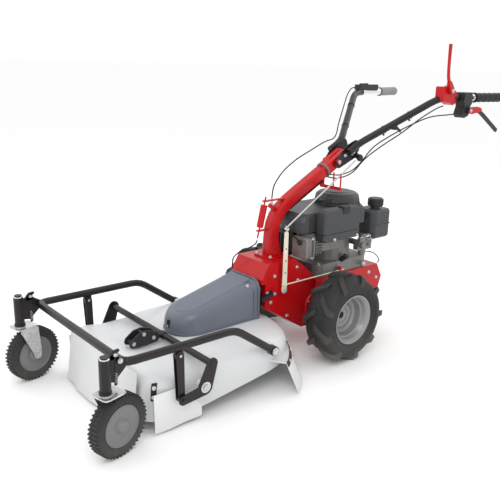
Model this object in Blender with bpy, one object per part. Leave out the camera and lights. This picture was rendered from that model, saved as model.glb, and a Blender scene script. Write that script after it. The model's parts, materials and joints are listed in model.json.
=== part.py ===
"""Two-wheel walking tractor with a front brush mower deck, as separate parts.

Metres, +Z up. The deck leads towards -Y, the handlebars trail towards +Y and +X is the machine's
left side. Every number below is measured in the machine's drawing frame. ORIGIN is the point of the
ground there under the middle of the footprint, and place() makes it the origin.
"""

from math import cos, hypot, pi, radians, sin

import bmesh
import bpy
from mathutils import Matrix, Vector

# ---------------------------------------------------------------- driving dimensions
ORIGIN = (0.0, -0.1125, 0.016)
GAP = 0.0004
SIDES = (("left", 1), ("right", -1))

TYRE_R = 0.165
TRACK_X = 0.2325
AXLE_YZ = (-0.012, TYRE_R + ORIGIN[2])
CARCASS_R = 0.1535
LUGS = 9
AXLE_R = 0.0125

GEARBOX_X = 0.083
CHASSIS_X = 0.100
CHASSIS_TOP = 0.290
PTO_Z = 0.240

COLUMN_R = 0.0225
CABLE_R = 0.0024
TILT_YZ = (0.129, 0.720)
BAR_R = 0.014
GRIP_START = (0.2430, 0.6900, 0.9675)
GRIP_END = (0.2700, 0.8350, 0.9680)
BRAKE_PIVOT = (0.268, 0.6270, 0.919)
CLUTCH_PIVOT = (0.247, 0.519, 0.995)

GEAR_X = 0.1005
GEAR_PIVOT_YZ = (-0.196, 0.281)
GEAR_TOP_Z = 0.505
LINK_ROD_X = 0.1062
LINK_ROD_Z = 0.306

ENGINE_Y = 0.165
SHROUD_Z = (0.480, 0.550)

DECK_X = 0.272
DECK_FRONT = -0.880
DECK_SHEET = 0.0035
BLADE_Y = -0.550
BLADE_R = 0.245
BLADE_Z = 0.095

FRAME_X = 0.283
FRAME_R = 0.0125
FRAME_PIVOT_YZ = (-0.412, 0.171)
FRAME_BEND_YZ = (-0.576, 0.285)
FRAME_FRONT_YZ = (-0.964, 0.288)
LINK_TOP_YZ = (-0.786, 0.261)
LINK_FOOT_YZ = (-0.780, 0.118)
CRANK_YZ = (-0.700, 0.137)
SHAFT_YZ = (-0.675, 0.206)
CRANK_X = (0.2965, 0.3005)

POST_X = 0.2915
POST_Y = -1.027
CASTER_R = 0.0935
CASTER_W = 0.040
CASTER_TRAIL = 0.040
CASTER_TURN = {"left": radians(13), "right": radians(11)}


# ---------------------------------------------------------------- modelling helpers
def clear_scene():
    for old in list(bpy.data.objects):
        bpy.data.objects.remove(old, do_unlink=True)


def body(vertices, faces):
    """A temporary object with one closed mesh whose normals point out."""
    mesh = bpy.data.meshes.new("solid")
    mesh.from_pydata([tuple(v) for v in vertices], [], faces)
    shape = bmesh.new()
    shape.from_mesh(mesh)
    bmesh.ops.recalc_face_normals(shape, faces=shape.faces)
    if shape.calc_volume(signed=True) < 0:
        bmesh.ops.reverse_faces(shape, faces=shape.faces)
    shape.to_mesh(mesh)
    shape.free()
    thing = bpy.data.objects.new("solid", mesh)
    bpy.context.scene.collection.objects.link(thing)
    return thing


def rings_body(rings):
    """A solid from rings of equally many points, with a cap on the first and on the last ring."""
    count = len(rings[0])
    vertices = [point for ring in rings for point in ring]
    faces = [list(range(count)), list(range(len(vertices) - count, len(vertices)))]
    for row in range(len(rings) - 1):
        low = row * count
        for i in range(count):
            j = (i + 1) % count
            faces.append([low + i, low + j, low + count + j, low + count + i])
    return body(vertices, faces)


def spread(u, v, w, axis):
    """A point from two in-plane values and one along the named axis."""
    return {"X": (w, u, v), "Y": (u, w, v), "Z": (u, v, w)}[axis]


def prism(outline, low, high, axis="X"):
    """An outline (Y,Z for X; X,Z for Y; X,Y for Z) drawn out from low to high along the axis."""
    return rings_body([[spread(u, v, w, axis) for u, v in outline] for w in (low, high)])


def box(low, high):
    return prism([(low[1], low[2]), (high[1], low[2]), (high[1], high[2]), (low[1], high[2])], low[0],
                 high[0])


def rounded(outline, radius, steps=3):
    """The outline with every corner turned into an arc of at most the radius."""
    made = []
    for i, corner in enumerate(outline):
        here = Vector(corner)
        before = Vector(outline[i - 1]) - here
        after = Vector(outline[(i + 1) % len(outline)]) - here
        bend = pi - before.angle(after)
        reach = min(radius * abs(sin(bend / 2) / cos(bend / 2)), before.length * 0.45, after.length * 0.45)
        start = here + before.normalized() * reach
        end = here + after.normalized() * reach
        for step in range(steps + 1):
            t = step / steps
            made.append(tuple(start.lerp(here, t).lerp(here.lerp(end, t), t)))
    return made


def rounded_box(low, high, radius, axis="X", steps=3):
    """A box whose four edges along the axis are rounded."""
    i, j, k = {"X": (1, 2, 0), "Y": (0, 2, 1), "Z": (0, 1, 2)}[axis]
    outline = [(low[i], low[j]), (high[i], low[j]), (high[i], high[j]), (low[i], high[j])]
    return prism(rounded(outline, radius, steps), low[k], high[k], axis)


def frame_of(direction):
    """Two unit vectors square to a direction."""
    forward = Vector(direction).normalized()
    helper = Vector((0, 0, 1)) if abs(forward.z) < 0.9 else Vector((0, 1, 0))
    side = helper.cross(forward).normalized()
    return side, forward.cross(side)


def turned(profile, centre, direction, steps=24, phase=0.0):
    """A closed profile of (distance along the axis, radius) turned about the axis."""
    side, up = frame_of(direction)
    forward = Vector(direction).normalized()
    centre = Vector(centre)
    vertices, index = [], []
    for along, radius in profile:
        ring = []
        for k in range(1 if radius < 1e-7 else steps):
            a = phase + 2 * pi * k / steps
            ring.append(len(vertices))
            vertices.append(centre + forward * along + (side * cos(a) + up * sin(a)) * radius)
        index.append(ring)
    faces = []
    for i, ring in enumerate(index):
        other = index[(i + 1) % len(index)]
        for k in range(steps):
            corners = [ring[k % len(ring)], ring[(k + 1) % len(ring)]]
            corners += [other[(k + 1) % len(other)], other[k % len(other)]]
            kept = list(dict.fromkeys(corners))
            if len(kept) > 2:
                faces.append(kept)
    return body(vertices, faces)


def rod(start, end, radius, sides=12, phase=0.0):
    length = (Vector(end) - Vector(start)).length
    profile = [(0, 0), (0, radius), (length, radius), (length, 0)]
    return turned(profile, start, Vector(end) - Vector(start), sides, phase)


def bent_path(points, radius, steps=4):
    """A polyline with each inner corner rounded."""
    points = [Vector(p) for p in points]
    made = [points[0]]
    for before, here, after in zip(points, points[1:], points[2:]):
        back, on = before - here, after - here
        reach = min(radius, back.length * 0.48, on.length * 0.48)
        start = here + back.normalized() * reach
        end = here + on.normalized() * reach
        made += [start.lerp(here, t / steps).lerp(here.lerp(end, t / steps), t / steps)
                 for t in range(steps + 1)]
    return made + [points[-1]]


def smooth_path(points, steps):
    """A Catmull-Rom curve through the points."""
    points = [Vector(p) for p in points]
    padded = [points[0] * 2 - points[1]] + points + [points[-1] * 2 - points[-2]]
    made = []
    for a, b, c, d in zip(padded, padded[1:], padded[2:], padded[3:]):
        for step in range(steps):
            t = step / steps
            pull = b * 2 + (c - a) * t + (a * 2 - b * 5 + c * 4 - d) * t**2 + (b * 3 - a - c * 3 + d) * t**3
            made.append(pull / 2)
    return made + [points[-1]]


def swept(points, section, up=(1, 0, 0)):
    """A section of (side, up) points carried along a path; section may be a function of the share done."""
    points = [Vector(p) for p in points]
    rings = []
    for i, here in enumerate(points):
        ahead = points[min(i + 1, len(points) - 1)] - here
        behind = here - points[max(i - 1, 0)]
        forward = (ahead.normalized() + behind.normalized()).normalized()
        stretch = 1 / max(0.5, forward.dot((ahead if ahead.length else behind).normalized()))
        across = (Vector(up) - forward * forward.dot(Vector(up))).normalized()
        other = forward.cross(across)
        shape = section(i / (len(points) - 1)) if callable(section) else section
        turn = (ahead.normalized() - behind.normalized()) if 0 < i < len(points) - 1 else Vector()
        bend = turn.normalized() if turn.length > 1e-6 else Vector()
        ring = []
        for u, v in shape:
            offset = across * u + other * v
            offset += bend * offset.dot(bend) * (stretch - 1)
            ring.append(here + offset)
        rings.append(ring)
    return rings_body(rings)


def circle(radius, sides=12, phase=0.0):
    return [(radius * cos(phase + 2 * pi * k / sides), radius * sin(phase + 2 * pi * k / sides))
            for k in range(sides)]


def soft_square(half_width, half_depth, sides=16, power=0.35):
    """A square section with well-rounded corners."""
    made = []
    for k in range(sides):
        a = 2 * pi * (k + 0.5) / sides
        u = abs(cos(a)) ** power * (1 if cos(a) > 0 else -1)
        v = abs(sin(a)) ** power * (1 if sin(a) > 0 else -1)
        made.append((half_width * u, half_depth * v))
    return made


def hull_outline(circles):
    """The outline round several circles of (u, v, radius)."""
    points = []
    for u, v, radius in circles:
        points += [(u + radius * cos(pi * k / 6), v + radius * sin(pi * k / 6)) for k in range(12)]
    points = sorted(set((round(u, 6), round(v, 6)) for u, v in points))

    def half(ordered):
        kept = []
        for p in ordered:
            while len(kept) > 1:
                (ax, ay), (bx, by) = kept[-2], kept[-1]
                if (bx - ax) * (p[1] - ay) - (by - ay) * (p[0] - ax) > 1e-10:
                    break
                kept.pop()
            kept.append(p)
        return kept

    return half(points)[:-1] + half(points[::-1])[:-1]


def combine(base, tools, operation):
    """The base after an exact Boolean with each tool; the tools are used up."""
    for tool in tools:
        step = base.modifiers.new("cut", "BOOLEAN")
        step.operation = operation
        step.solver = "EXACT"
        step.object = tool
    bpy.context.view_layer.update()
    graph = bpy.context.evaluated_depsgraph_get()
    mesh = bpy.data.meshes.new_from_object(base.evaluated_get(graph))
    base.modifiers.clear()
    base.data = mesh
    shape = bmesh.new()
    shape.from_mesh(mesh)
    bmesh.ops.dissolve_degenerate(shape, dist=2e-6, edges=shape.edges)
    bmesh.ops.remove_doubles(shape, verts=shape.verts, dist=2e-6)
    shape.to_mesh(mesh)
    shape.free()
    for tool in tools:
        bpy.data.objects.remove(tool, do_unlink=True)
    return base


def fuse(base, *others):
    return combine(base, others, "UNION")


def cut(base, *tools):
    return combine(base, tools, "DIFFERENCE")


def bevelled(thing, width, segments=2, angle=40):
    """The sharp edges of a solid broken by a small round."""
    shape = bmesh.new()
    shape.from_mesh(thing.data)
    bmesh.ops.dissolve_limit(shape, angle_limit=radians(0.5), verts=shape.verts, edges=shape.edges)
    edges = [e for e in shape.edges if len(e.link_faces) == 2 and e.calc_face_angle(0) > radians(angle)]
    bmesh.ops.bevel(
        shape, geom=edges, offset=width, segments=segments, profile=0.5, affect="EDGES", clamp_overlap=True
    )
    shape.to_mesh(thing.data)
    shape.free()
    return thing


MATERIALS = {}


def material(name, colour, roughness, metallic=0.0):
    made = bpy.data.materials.new(name)
    made.use_nodes = True
    shader = made.node_tree.nodes["Principled BSDF"]
    shader.inputs["Base Color"].default_value = (*colour, 1)
    shader.inputs["Roughness"].default_value = roughness
    shader.inputs["Metallic"].default_value = metallic
    made.diffuse_color = (*colour, 1)
    MATERIALS[name] = made


def make_materials():
    material("red_paint", (0.62, 0.012, 0.012), 0.30)
    material("black_paint", (0.012, 0.012, 0.014), 0.32)
    material("black_plastic", (0.035, 0.037, 0.040), 0.50)
    material("grey_cover", (0.125, 0.140, 0.175), 0.40)
    material("deck_paint", (0.74, 0.76, 0.77), 0.42)
    material("flap_rubber", (0.70, 0.72, 0.72), 0.62)
    material("zinc", (0.62, 0.62, 0.60), 0.30, 1.0)
    material("cream_paint", (0.74, 0.70, 0.55), 0.42)
    material("cast_aluminium", (0.45, 0.43, 0.42), 0.50, 1.0)
    material("rim_paint", (0.55, 0.56, 0.57), 0.38, 0.5)
    material("tyre_rubber", (0.018, 0.018, 0.019), 0.78)
    material("grip_rubber", (0.022, 0.022, 0.023), 0.70)
    material("disc_plastic", (0.17, 0.17, 0.18), 0.50)
    material("steel", (0.30, 0.30, 0.31), 0.38, 1.0)
    material("cable_black", (0.015, 0.015, 0.015), 0.50)


def place(name, thing, finish, pivot=(0, 0, 0), turn=0.0, smooth=35):
    """Names a solid, gives it its finish and puts its origin on the pivot; turn is about the pivot's Z."""
    pivot = Vector(pivot)
    thing.data.transform(Matrix.Translation(-pivot))
    thing.name = name
    thing.data.name = name
    thing.location = pivot - Vector(ORIGIN)
    thing.rotation_euler.z = turn
    thing.data.materials.clear()
    thing.data.materials.append(MATERIALS[finish])
    thing.data.shade_smooth()
    thing.data.set_sharp_from_angle(angle=radians(smooth))
    return thing


def ends(low, high, side):
    """The low and high X of a piece on the given side."""
    return min(low * side, high * side), max(low * side, high * side)


# ---------------------------------------------------------------- drive wheels
def make_axle():
    centre = (0, *AXLE_YZ)
    half = TRACK_X - 0.018
    profile = [(-half, 0), (-half, AXLE_R - 0.002), (0.003 - half, AXLE_R)]
    profile += [(-along, radius) for along, radius in reversed(profile)]
    place("axle_shaft", turned(profile, centre, (1, 0, 0), 20), "steel", centre)


RIM_PROFILE = [
    (0.0475, 0.0930), (0.0505, 0.0930), (0.0495, 0.0840), (0.0150, 0.0750), (-0.0120, 0.0580),
    (-0.0135, 0.0131), (-0.1175, 0.0131), (-0.1175, 0.0220), (-0.0225, 0.0225), (-0.0180, 0.0640),
    (-0.0495, 0.0840), (-0.0505, 0.0930), (-0.0475, 0.0930), (-0.0475, 0.0868), (-0.0400, 0.0822),
    (0.0400, 0.0822), (0.0475, 0.0868),
]
TYRE_PROFILE = [
    (0.0470, 0.0875), (0.0470, 0.0945), (0.0600, 0.1180), (0.0570, 0.1400), (0.0450, 0.1500),
    (0.0000, CARCASS_R), (-0.0450, 0.1500), (-0.0570, 0.1400), (-0.0600, 0.1180), (-0.0470, 0.0945),
    (-0.0470, 0.0875), (-0.0395, 0.0829), (0.0395, 0.0829),
]


def lug(side, half, turn):
    """One tread bar, swept back from the middle of the tread out to the shoulder."""
    lean = radians(17)
    width = radians(10)
    inner, outer = 0.002, 0.0585
    rings = []
    for radius in (CARCASS_R - 0.016, TYRE_R + 0.0018):
        ring = []
        for along, offset in ((inner, 0.0), (outer, lean), (outer, lean + width), (inner, width)):
            angle = offset - (lean + width) / 2
            x = side * TRACK_X + half * along
            ring.append(Vector((x, radius * sin(angle), -radius * cos(angle))))
        rings.append(ring)
    solid = rings_body(rings)
    solid.data.transform(Matrix.Rotation(turn, 4, "X"))
    solid.data.transform(Matrix.Translation((0, *AXLE_YZ)))
    return solid


def make_drive_wheels():
    """The rims and tyres; the ground plane leaves a small flat under the lowest tread bars."""
    for name, side in SIDES:
        centre = (side * TRACK_X, *AXLE_YZ)
        place(name + "_rim", turned(RIM_PROFILE, centre, (side, 0, 0), 20), "rim_paint", centre)
        tyre = turned(TYRE_PROFILE, centre, (side, 0, 0), 20)
        bars = []
        for k in range(LUGS):
            turn = 2 * pi * k / LUGS
            bars.append(lug(side, side, turn))
            bars.append(lug(side, -side, turn + pi / LUGS))
        ground = box((-0.5, -0.5, ORIGIN[2] - 0.1), (0.5, 0.5, ORIGIN[2]))
        place(name + "_tyre", cut(fuse(tyre, *bars), ground), "tyre_rubber", centre)


# ---------------------------------------------------------------- gearbox, hood and chassis
def make_gearbox():
    outline = [
        (-0.273, 0.226), (-0.273, 0.312), (-0.2885, 0.333), (-0.2595, 0.3848), (-0.131, 0.3848),
        (-0.090, 0.357), (-0.034, 0.311), (-0.034, 0.2855), (0.050, 0.2855), (0.060, 0.240),
        (0.062, 0.181), (0.040, 0.125), (-0.012, 0.102), (-0.080, 0.104),
    ]
    inner = [
        (-0.264, 0.232), (-0.264, 0.310), (-0.276, 0.331), (-0.253, 0.376), (-0.135, 0.376),
        (-0.096, 0.350), (-0.043, 0.307), (-0.043, 0.276), (0.042, 0.276), (0.051, 0.239),
        (0.053, 0.183), (0.033, 0.131), (-0.014, 0.111), (-0.076, 0.113),
    ]
    wall = 0.009
    shell = prism(rounded(outline, 0.006, 1), -GEARBOX_X, GEARBOX_X)
    shell = cut(shell, prism(inner, -GEARBOX_X + wall, GEARBOX_X - wall))
    bosses = []
    for side in (1, -1):
        start = (side * (GEARBOX_X - 0.004), *AXLE_YZ)
        bosses.append(rod(start, (side * 0.1120, *AXLE_YZ), 0.036, 16))
    pin_start = (GEARBOX_X - 0.004, *GEAR_PIVOT_YZ)
    bosses.append(rod(pin_start, (GEAR_X + 0.006, *GEAR_PIVOT_YZ), 0.0055, 10))
    bosses.append(rod(pin_start, (GEAR_X - 0.0034, *GEAR_PIVOT_YZ), 0.010, 10))
    shell = fuse(shell, *bosses)
    axle_bore = rod((-0.12, *AXLE_YZ), (0.12, *AXLE_YZ), AXLE_R + 0.0010, 20)
    pto_bore = rod((0, -0.30, PTO_Z), (0, -0.24, PTO_Z), 0.0125, 18)
    place("gearbox_housing", cut(shell, axle_bore, pto_bore), "red_paint", (0, *AXLE_YZ))


def make_hood():
    """The folded front cover with its seam, and the flange that the column stands on."""
    outer = [
        (-0.2945, 0.318), (-0.2930, 0.334), (-0.2620, 0.3885), (-0.1250, 0.3885), (-0.1250, 0.3853),
        (-0.2320, 0.3853), (-0.2620, 0.345), (-0.2700, 0.318),
    ]
    inner = [(-0.2915, 0.300), (-0.2900, 0.3335), (-0.2605, 0.3853), (-0.080, 0.3853), (-0.080, 0.300)]
    shell = cut(prism(outer, -0.0868, 0.0868), prism(inner, -0.0836, 0.0836))
    flange = rounded_box((-0.048, -0.224, 0.3870), (0.048, -0.1255, 0.3950), 0.014, "Z", 3)
    place("hood", fuse(shell, flange), "red_paint", (0, -0.20, 0.3885))


def make_chassis():
    """The folded plate that the engine stands on, open below and towards the gearbox."""
    outer = [
        (-0.0280, CHASSIS_TOP), (0.3350, CHASSIS_TOP), (0.3690, 0.231), (0.3520, 0.182),
        (0.3180, 0.166), (0.2300, 0.198), (0.1100, 0.222), (-0.0280, 0.235),
    ]
    inner = [(-0.06, 0.286), (0.3325, 0.286), (0.3642, 0.2305), (0.3475, 0.150), (-0.06, 0.150)]
    wall = 0.004
    shell = prism(outer, -CHASSIS_X, CHASSIS_X)
    shell = cut(shell, prism(inner, -CHASSIS_X + wall, CHASSIS_X - wall))
    guide = box((CHASSIS_X - 0.002, 0.092, 0.280), (0.1110, 0.104, 0.320))
    eye = rod((LINK_ROD_X, 0.080, LINK_ROD_Z), (LINK_ROD_X, 0.115, LINK_ROD_Z), 0.0042, 12)
    shaft_hole = rod((0, ENGINE_Y - 0.030, 0.27), (0, ENGINE_Y - 0.030, 0.31), 0.030, 20)
    place("rear_chassis", cut(fuse(shell, guide), eye, shaft_hole), "red_paint", (0, 0.14, CHASSIS_TOP))


def make_latch():
    """The ribbed handle that lets the mower go from the tractor."""
    pivot = (0.0895, -0.288, 0.262)
    low, high = 0.0842, 0.0945
    handle = prism(rounded([(-0.296, 0.254), (-0.244, 0.268), (-0.244, 0.284), (-0.296, 0.270)], 0.004,
                           2), low, high)
    ribs = []
    for k in range(5):
        y = -0.282 + 0.008 * k
        z = 0.272 + 0.0022 * k
        ribs.append(box((low + 0.001, y, z), (high - 0.001, y + 0.003, z + 0.0065)))
    place("coupling_latch", fuse(handle, *ribs), "black_plastic", pivot)


# ---------------------------------------------------------------- steering column and handlebars
COLUMN_FOOT = (0, -0.172, 0.3955)
COLUMN_PATH = [
    (-0.171, 0.3900), (-0.178, 0.440), (-0.178, 0.487), (-0.160, 0.537), (-0.111, 0.582),
    (-0.011, 0.638), (0.094, 0.693),
]
LOCK_AXIS = Vector((0, -0.031, -0.135)).normalized()
LOCK_TOP = Vector((0, -0.2120, 0.611))


def column_section(share):
    """Deeper at its foot and slimmer above."""
    foot = max(0.0, 1 - share * 4)
    return soft_square(COLUMN_R + 0.005 * foot, COLUMN_R + 0.008 * foot, 12)


def slope_box(start, end, half_thick, low, high):
    """A bar of rectangular section in the Y,Z plane between two points."""
    (y0, z0), (y1, z1) = start, end
    length = hypot(y1 - y0, z1 - z0)
    ny, nz = -(z1 - z0) / length * half_thick, (y1 - y0) / length * half_thick
    return prism([(y0 + ny, z0 + nz), (y1 + ny, z1 + nz), (y1 - ny, z1 - nz), (y0 - ny, z0 - nz)], low,
                 high)


def make_column():
    path = smooth_path([(0, y, z) for y, z in COLUMN_PATH], 2)
    column = swept(path, column_section)
    head = slope_box((0.082, 0.687), (0.186, 0.748), 0.020, -0.0235, 0.0235)
    slot = slope_box((0.113, 0.728), (0.168, 0.760), 0.006, -0.003, 0.003)
    anchor = slope_box((-0.147, 0.551), (-0.193, 0.582), 0.007, -0.006, 0.006)
    ears = []
    for share, reach in ((0.012, -0.105), (0.122, -0.190)):
        spot = LOCK_TOP + LOCK_AXIS * share
        ears.append(box((-0.007, spot.y - 0.008, spot.z - 0.0025), (0.007, reach, spot.z + 0.0025)))
    ears.append(box((0.000, 0.068, 0.625), (0.020, 0.0725, 0.672)))
    arm = box((0.010, 0.068, 0.625), (0.106, 0.0725, 0.637))
    fork = [box((x, 0.068, 0.625), (x + 0.004, 0.0725, 0.690)) for x in (0.066, 0.102)]
    pin = rod((-0.0345, *TILT_YZ), (0.0345, *TILT_YZ), 0.0055, 12)
    heads = [rod((side * 0.0332, *TILT_YZ), (side * 0.0400, *TILT_YZ), 0.0105, 6) for side in (1, -1)]
    column = fuse(column, head, anchor, *ears, arm, *fork, pin, *heads)
    under = box((-0.06, -0.25, 0.36), (0.06, -0.10, COLUMN_FOOT[2]))
    bore_top = LOCK_TOP - LOCK_AXIS * 0.03
    bore = rod(bore_top, bore_top + LOCK_AXIS * 0.20, 0.0042, 12)
    place("steering_column", cut(column, slot, bore, under), "red_paint", COLUMN_FOOT)


def make_lock_handle():
    """The pull handle on its rod in front of the column."""
    end = LOCK_TOP + LOCK_AXIS * 0.150
    stem = rod(LOCK_TOP - LOCK_AXIS * 0.004, end, 0.0030, 10)
    profile = [(0.026, 0), (0.026, 0.0105), (0.029, 0.0125), (0.106, 0.0125), (0.110, 0.0105), (0.110, 0)]
    grip = turned(profile, LOCK_TOP, LOCK_AXIS, 16)
    place("column_lock_handle", fuse(grip, stem), "red_paint", LOCK_TOP)


def make_clamp():
    """Two cheek plates with their spacer, which carry both bars and tilt on the column's bolt."""
    outline = [(0.106, 0.707), (0.144, 0.753), (0.186, 0.784), (0.236, 0.803), (0.253, 0.764), (0.225,
        0.728),
               (0.136, 0.693)]
    outline = rounded(outline, 0.016, 2)
    plates = [prism(outline, *ends(0.0285, 0.0325, side)) for side in (1, -1)]
    lock = (0.212, 0.7505)
    spacer = rod((-0.030, *lock), (0.030, *lock), 0.012, 16)
    bolt = rod((-0.040, *lock), (0.040, *lock), 0.0085, 6)
    knob_at = (0.238, 0.730)
    stem = rod((0.030, 0.224, 0.744), (0.048, 0.224, 0.744), 0.005, 10)
    profile = [(0.040, 0), (0.040, 0.010), (0.044, 0.014), (0.052, 0.014), (0.056, 0.010), (0.056, 0)]
    knob = turned(profile, (0, *knob_at), (1, 0, 0), 14)
    neck = rod((0.031, *knob_at), (0.044, *knob_at), 0.006, 10)
    tab = prism([(0.216, 0.753), (0.250, 0.742), (0.244, 0.722), (0.216, 0.735)], 0.0300, 0.0340)
    clamp = fuse(plates[0], spacer, plates[1], bolt, stem, tab, neck, knob)
    bore = rod((-0.05, *TILT_YZ), (0.05, *TILT_YZ), 0.0062, 16)
    place("handlebar_clamp", cut(clamp, bore), "black_paint", (0, *TILT_YZ))


def bar_points(side):
    """The bar beside the clamp plate, its two bends and the end inside the grip."""
    points = [(0.0475, 0.168, 0.756), (0.0475, 0.228, 0.787), (0.216, 0.489, 0.967)]
    points += [GRIP_START, tuple(Vector(GRIP_START).lerp(Vector(GRIP_END), 0.9))]
    return [(x * side, y, z) for x, y, z in points]


def make_handlebars():
    for name, side in SIDES:
        path = bent_path(bar_points(side), 0.045, 4)
        bar = swept(path, circle(BAR_R, 10), (0, 0, 1))
        place(name + "_handlebar", bar, "black_paint", (0, *TILT_YZ))
        start = Vector((GRIP_START[0] * side, *GRIP_START[1:]))
        end = Vector((GRIP_END[0] * side, *GRIP_END[1:]))
        length = (end - start).length
        bore = BAR_R + 0.0012
        profile = [(0, bore), (0, 0.0195), (0.004, 0.0195), (0.008, 0.0172)]
        for k in range(3):
            at = 0.018 + k * 0.036
            profile += [(at, 0.0172), (at + 0.012, 0.0186), (at + 0.024, 0.0172)]
        profile += [(length - 0.006, 0.0185), (length, 0.0150), (length, 0), (length * 0.93, 0),
                    (length * 0.93, bore)]
        place(name + "_grip", turned(profile, start, end - start, 12), "grip_rubber", start)


def bar_bore(side, radius, low, high):
    """A tool that clears a bracket round the upper straight of a bar."""
    a, b = Vector(bar_points(side)[2]), Vector(bar_points(side)[3])
    return rod(a.lerp(b, low), a.lerp(b, high), radius, 16)


def make_brake_lever():
    outline = [(0.597, 0.989), (0.649, 0.989), (0.653, 0.947), (0.637, 0.929), (0.635, 0.899), (0.605,
        0.889),
               (0.591, 0.903), (0.603, 0.935), (0.593, 0.957)]
    bracket = prism(rounded(outline, 0.005, 2), 0.2180, 0.2605)
    pin = rod((0.255, *BRAKE_PIVOT[1:]), (0.2745, *BRAKE_PIVOT[1:]), 0.0038, 10)
    bracket = fuse(cut(bracket, bar_bore(1, BAR_R + 0.0005, -0.5, 1.5)), pin)
    place("brake_bracket", bracket, "black_plastic", BRAKE_PIVOT)
    y, z = BRAKE_PIVOT[1:]
    hub = prism(hull_outline([(y, z, 0.012), (y + 0.045, z + 0.003, 0.010), (y + 0.075, z - 0.003,
        0.007)]), 0.2610, 0.2735)
    blade_path = bent_path([(0.2672, y + 0.060, z + 0.001), (0.2672, y + 0.100, z - 0.018), (0.2672,
        0.851, 0.831)], 0.03, 3)
    blade = swept(blade_path, soft_square(0.0050, 0.0085, 8, 0.5), (1, 0, 0))
    bore = rod((0.25, *BRAKE_PIVOT[1:]), (0.29, *BRAKE_PIVOT[1:]), 0.0044, 12)
    place("brake_lever", cut(fuse(hub, blade), bore), "black_plastic", BRAKE_PIVOT)


def make_clutch_lever():
    outline = [(0.481, 1.011), (0.524, 1.011), (0.564, 0.989), (0.575, 0.977), (0.572, 0.951), (0.549,
        0.939),
               (0.524, 0.949), (0.481, 0.953)]
    bracket = prism(rounded(outline, 0.005, 2), 0.2000, 0.2395)
    pin = rod((0.236, *CLUTCH_PIVOT[1:]), (0.2535, *CLUTCH_PIVOT[1:]), 0.0038, 10)
    bend = swept(bent_path(bar_points(1), 0.045, 4), circle(BAR_R + 0.0006, 12), (0, 0, 1))
    place("clutch_bracket", fuse(cut(bracket, bend), pin), "red_paint", CLUTCH_PIVOT)
    y, z = CLUTCH_PIVOT[1:]
    hub = prism(hull_outline([(y, z, 0.014), (y - 0.018, z + 0.027, 0.010)]), 0.2400, 0.2520)
    spine = [(y - 0.016, z + 0.022), (y - 0.030, z + 0.052), (y - 0.036, z + 0.102), (y - 0.038, z + 0.173)]
    spine = smooth_path([(0.246, *spot) for spot in spine], 3)
    stick = swept(spine, lambda t: soft_square(0.0045, 0.0085 - 0.0015 * sin(pi * t), 8, 0.5), (1, 0, 0))
    bore = rod((0.23, *CLUTCH_PIVOT[1:]), (0.26, *CLUTCH_PIVOT[1:]), 0.0044, 12)
    place("clutch_lever", cut(fuse(hub, stick), bore), "red_paint", CLUTCH_PIVOT)


THROTTLE_PIVOT = (-0.2265, 0.575, 1.001)


def make_throttle():
    outline = [(-0.240, 0.510), (-0.208, 0.506), (-0.214, 0.590), (-0.221, 0.658), (-0.249, 0.658),
               (-0.250, 0.590)]
    case = prism(rounded(outline, 0.008, 2), 0.976, 0.9995, "Z")
    case = cut(case, swept(bent_path(bar_points(-1), 0.045, 4), circle(BAR_R + 0.0006, 12), (0, 0, 1)))
    pivot_pin = rod((*THROTTLE_PIVOT[:2], 0.996), (*THROTTLE_PIVOT[:2], 1.0055), 0.0040, 10)
    place("throttle_housing", fuse(case, pivot_pin), "black_plastic", THROTTLE_PIVOT)
    outline = hull_outline([(*THROTTLE_PIVOT[:2], 0.009), (-0.214, 0.522, 0.006)])
    bore = rod((*THROTTLE_PIVOT[:2], 0.98), (*THROTTLE_PIVOT[:2], 1.02), 0.0045, 12)
    place("throttle_lever", cut(prism(outline, 1.0000, 1.0050, "Z"), bore), "black_plastic", THROTTLE_PIVOT)


# ---------------------------------------------------------------- gear selector
def make_selector():
    low, high = GEAR_X - 0.0030, GEAR_X + 0.0020
    y, z = GEAR_PIVOT_YZ
    outline = hull_outline([(y, z, 0.0105), (y, GEAR_TOP_Z - 0.008, 0.0080)])
    bore = rod((0.08, y, z), (0.12, y, z), 0.0061, 12)
    link_pin = rod((GEAR_X, y, LINK_ROD_Z), (0.1092, y, LINK_ROD_Z), 0.0028, 10)
    lever = fuse(cut(prism(outline, low, high), bore), link_pin)
    place("gear_lever", lever, "cream_paint", (GEAR_X, y, z))
    top = Vector((GEAR_X, y, GEAR_TOP_Z + 0.0085))
    far = Vector((0.0805, 0.174, 0.727))
    barrel = turned([(-0.006, 0), (-0.006, 0.0062), (0.006, 0.0062), (0.006, 0)], top, (1, 0, 0), 12)
    eye = rod(top - Vector((0, 0, 0.02)), top + Vector((0, 0, 0.02)), 0.0030, 10)
    place("rod_clevis", cut(barrel, eye), "zinc", top)
    start = top.lerp(far, 0.010)
    pin = rod(top - Vector((0, 0, 0.0075)), top + Vector((0, 0, 0.0095)), 0.0024, 8)
    head = rod(top + Vector((0, 0, 0.0068)), top + Vector((0, 0, 0.0120)), 0.0052, 10)
    place("selector_rod", fuse(rod(start + Vector((0, 0, 0.0060)), far, 0.0032, 10), head, pin), "zinc",
          top)
    profile = [(0.1030, 0.0034), (0.1030, 0.0070), (0.1088, 0.0070), (0.1088, 0.0034)]
    ring = turned(profile, (0, y, LINK_ROD_Z), (1, 0, 0), 12)
    thin = rod((LINK_ROD_X, y + 0.0052, LINK_ROD_Z), (LINK_ROD_X, 0.122, LINK_ROD_Z), 0.0024, 8)
    place("selector_link_rod", fuse(ring, thin), "cream_paint", (LINK_ROD_X, y, LINK_ROD_Z))


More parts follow.
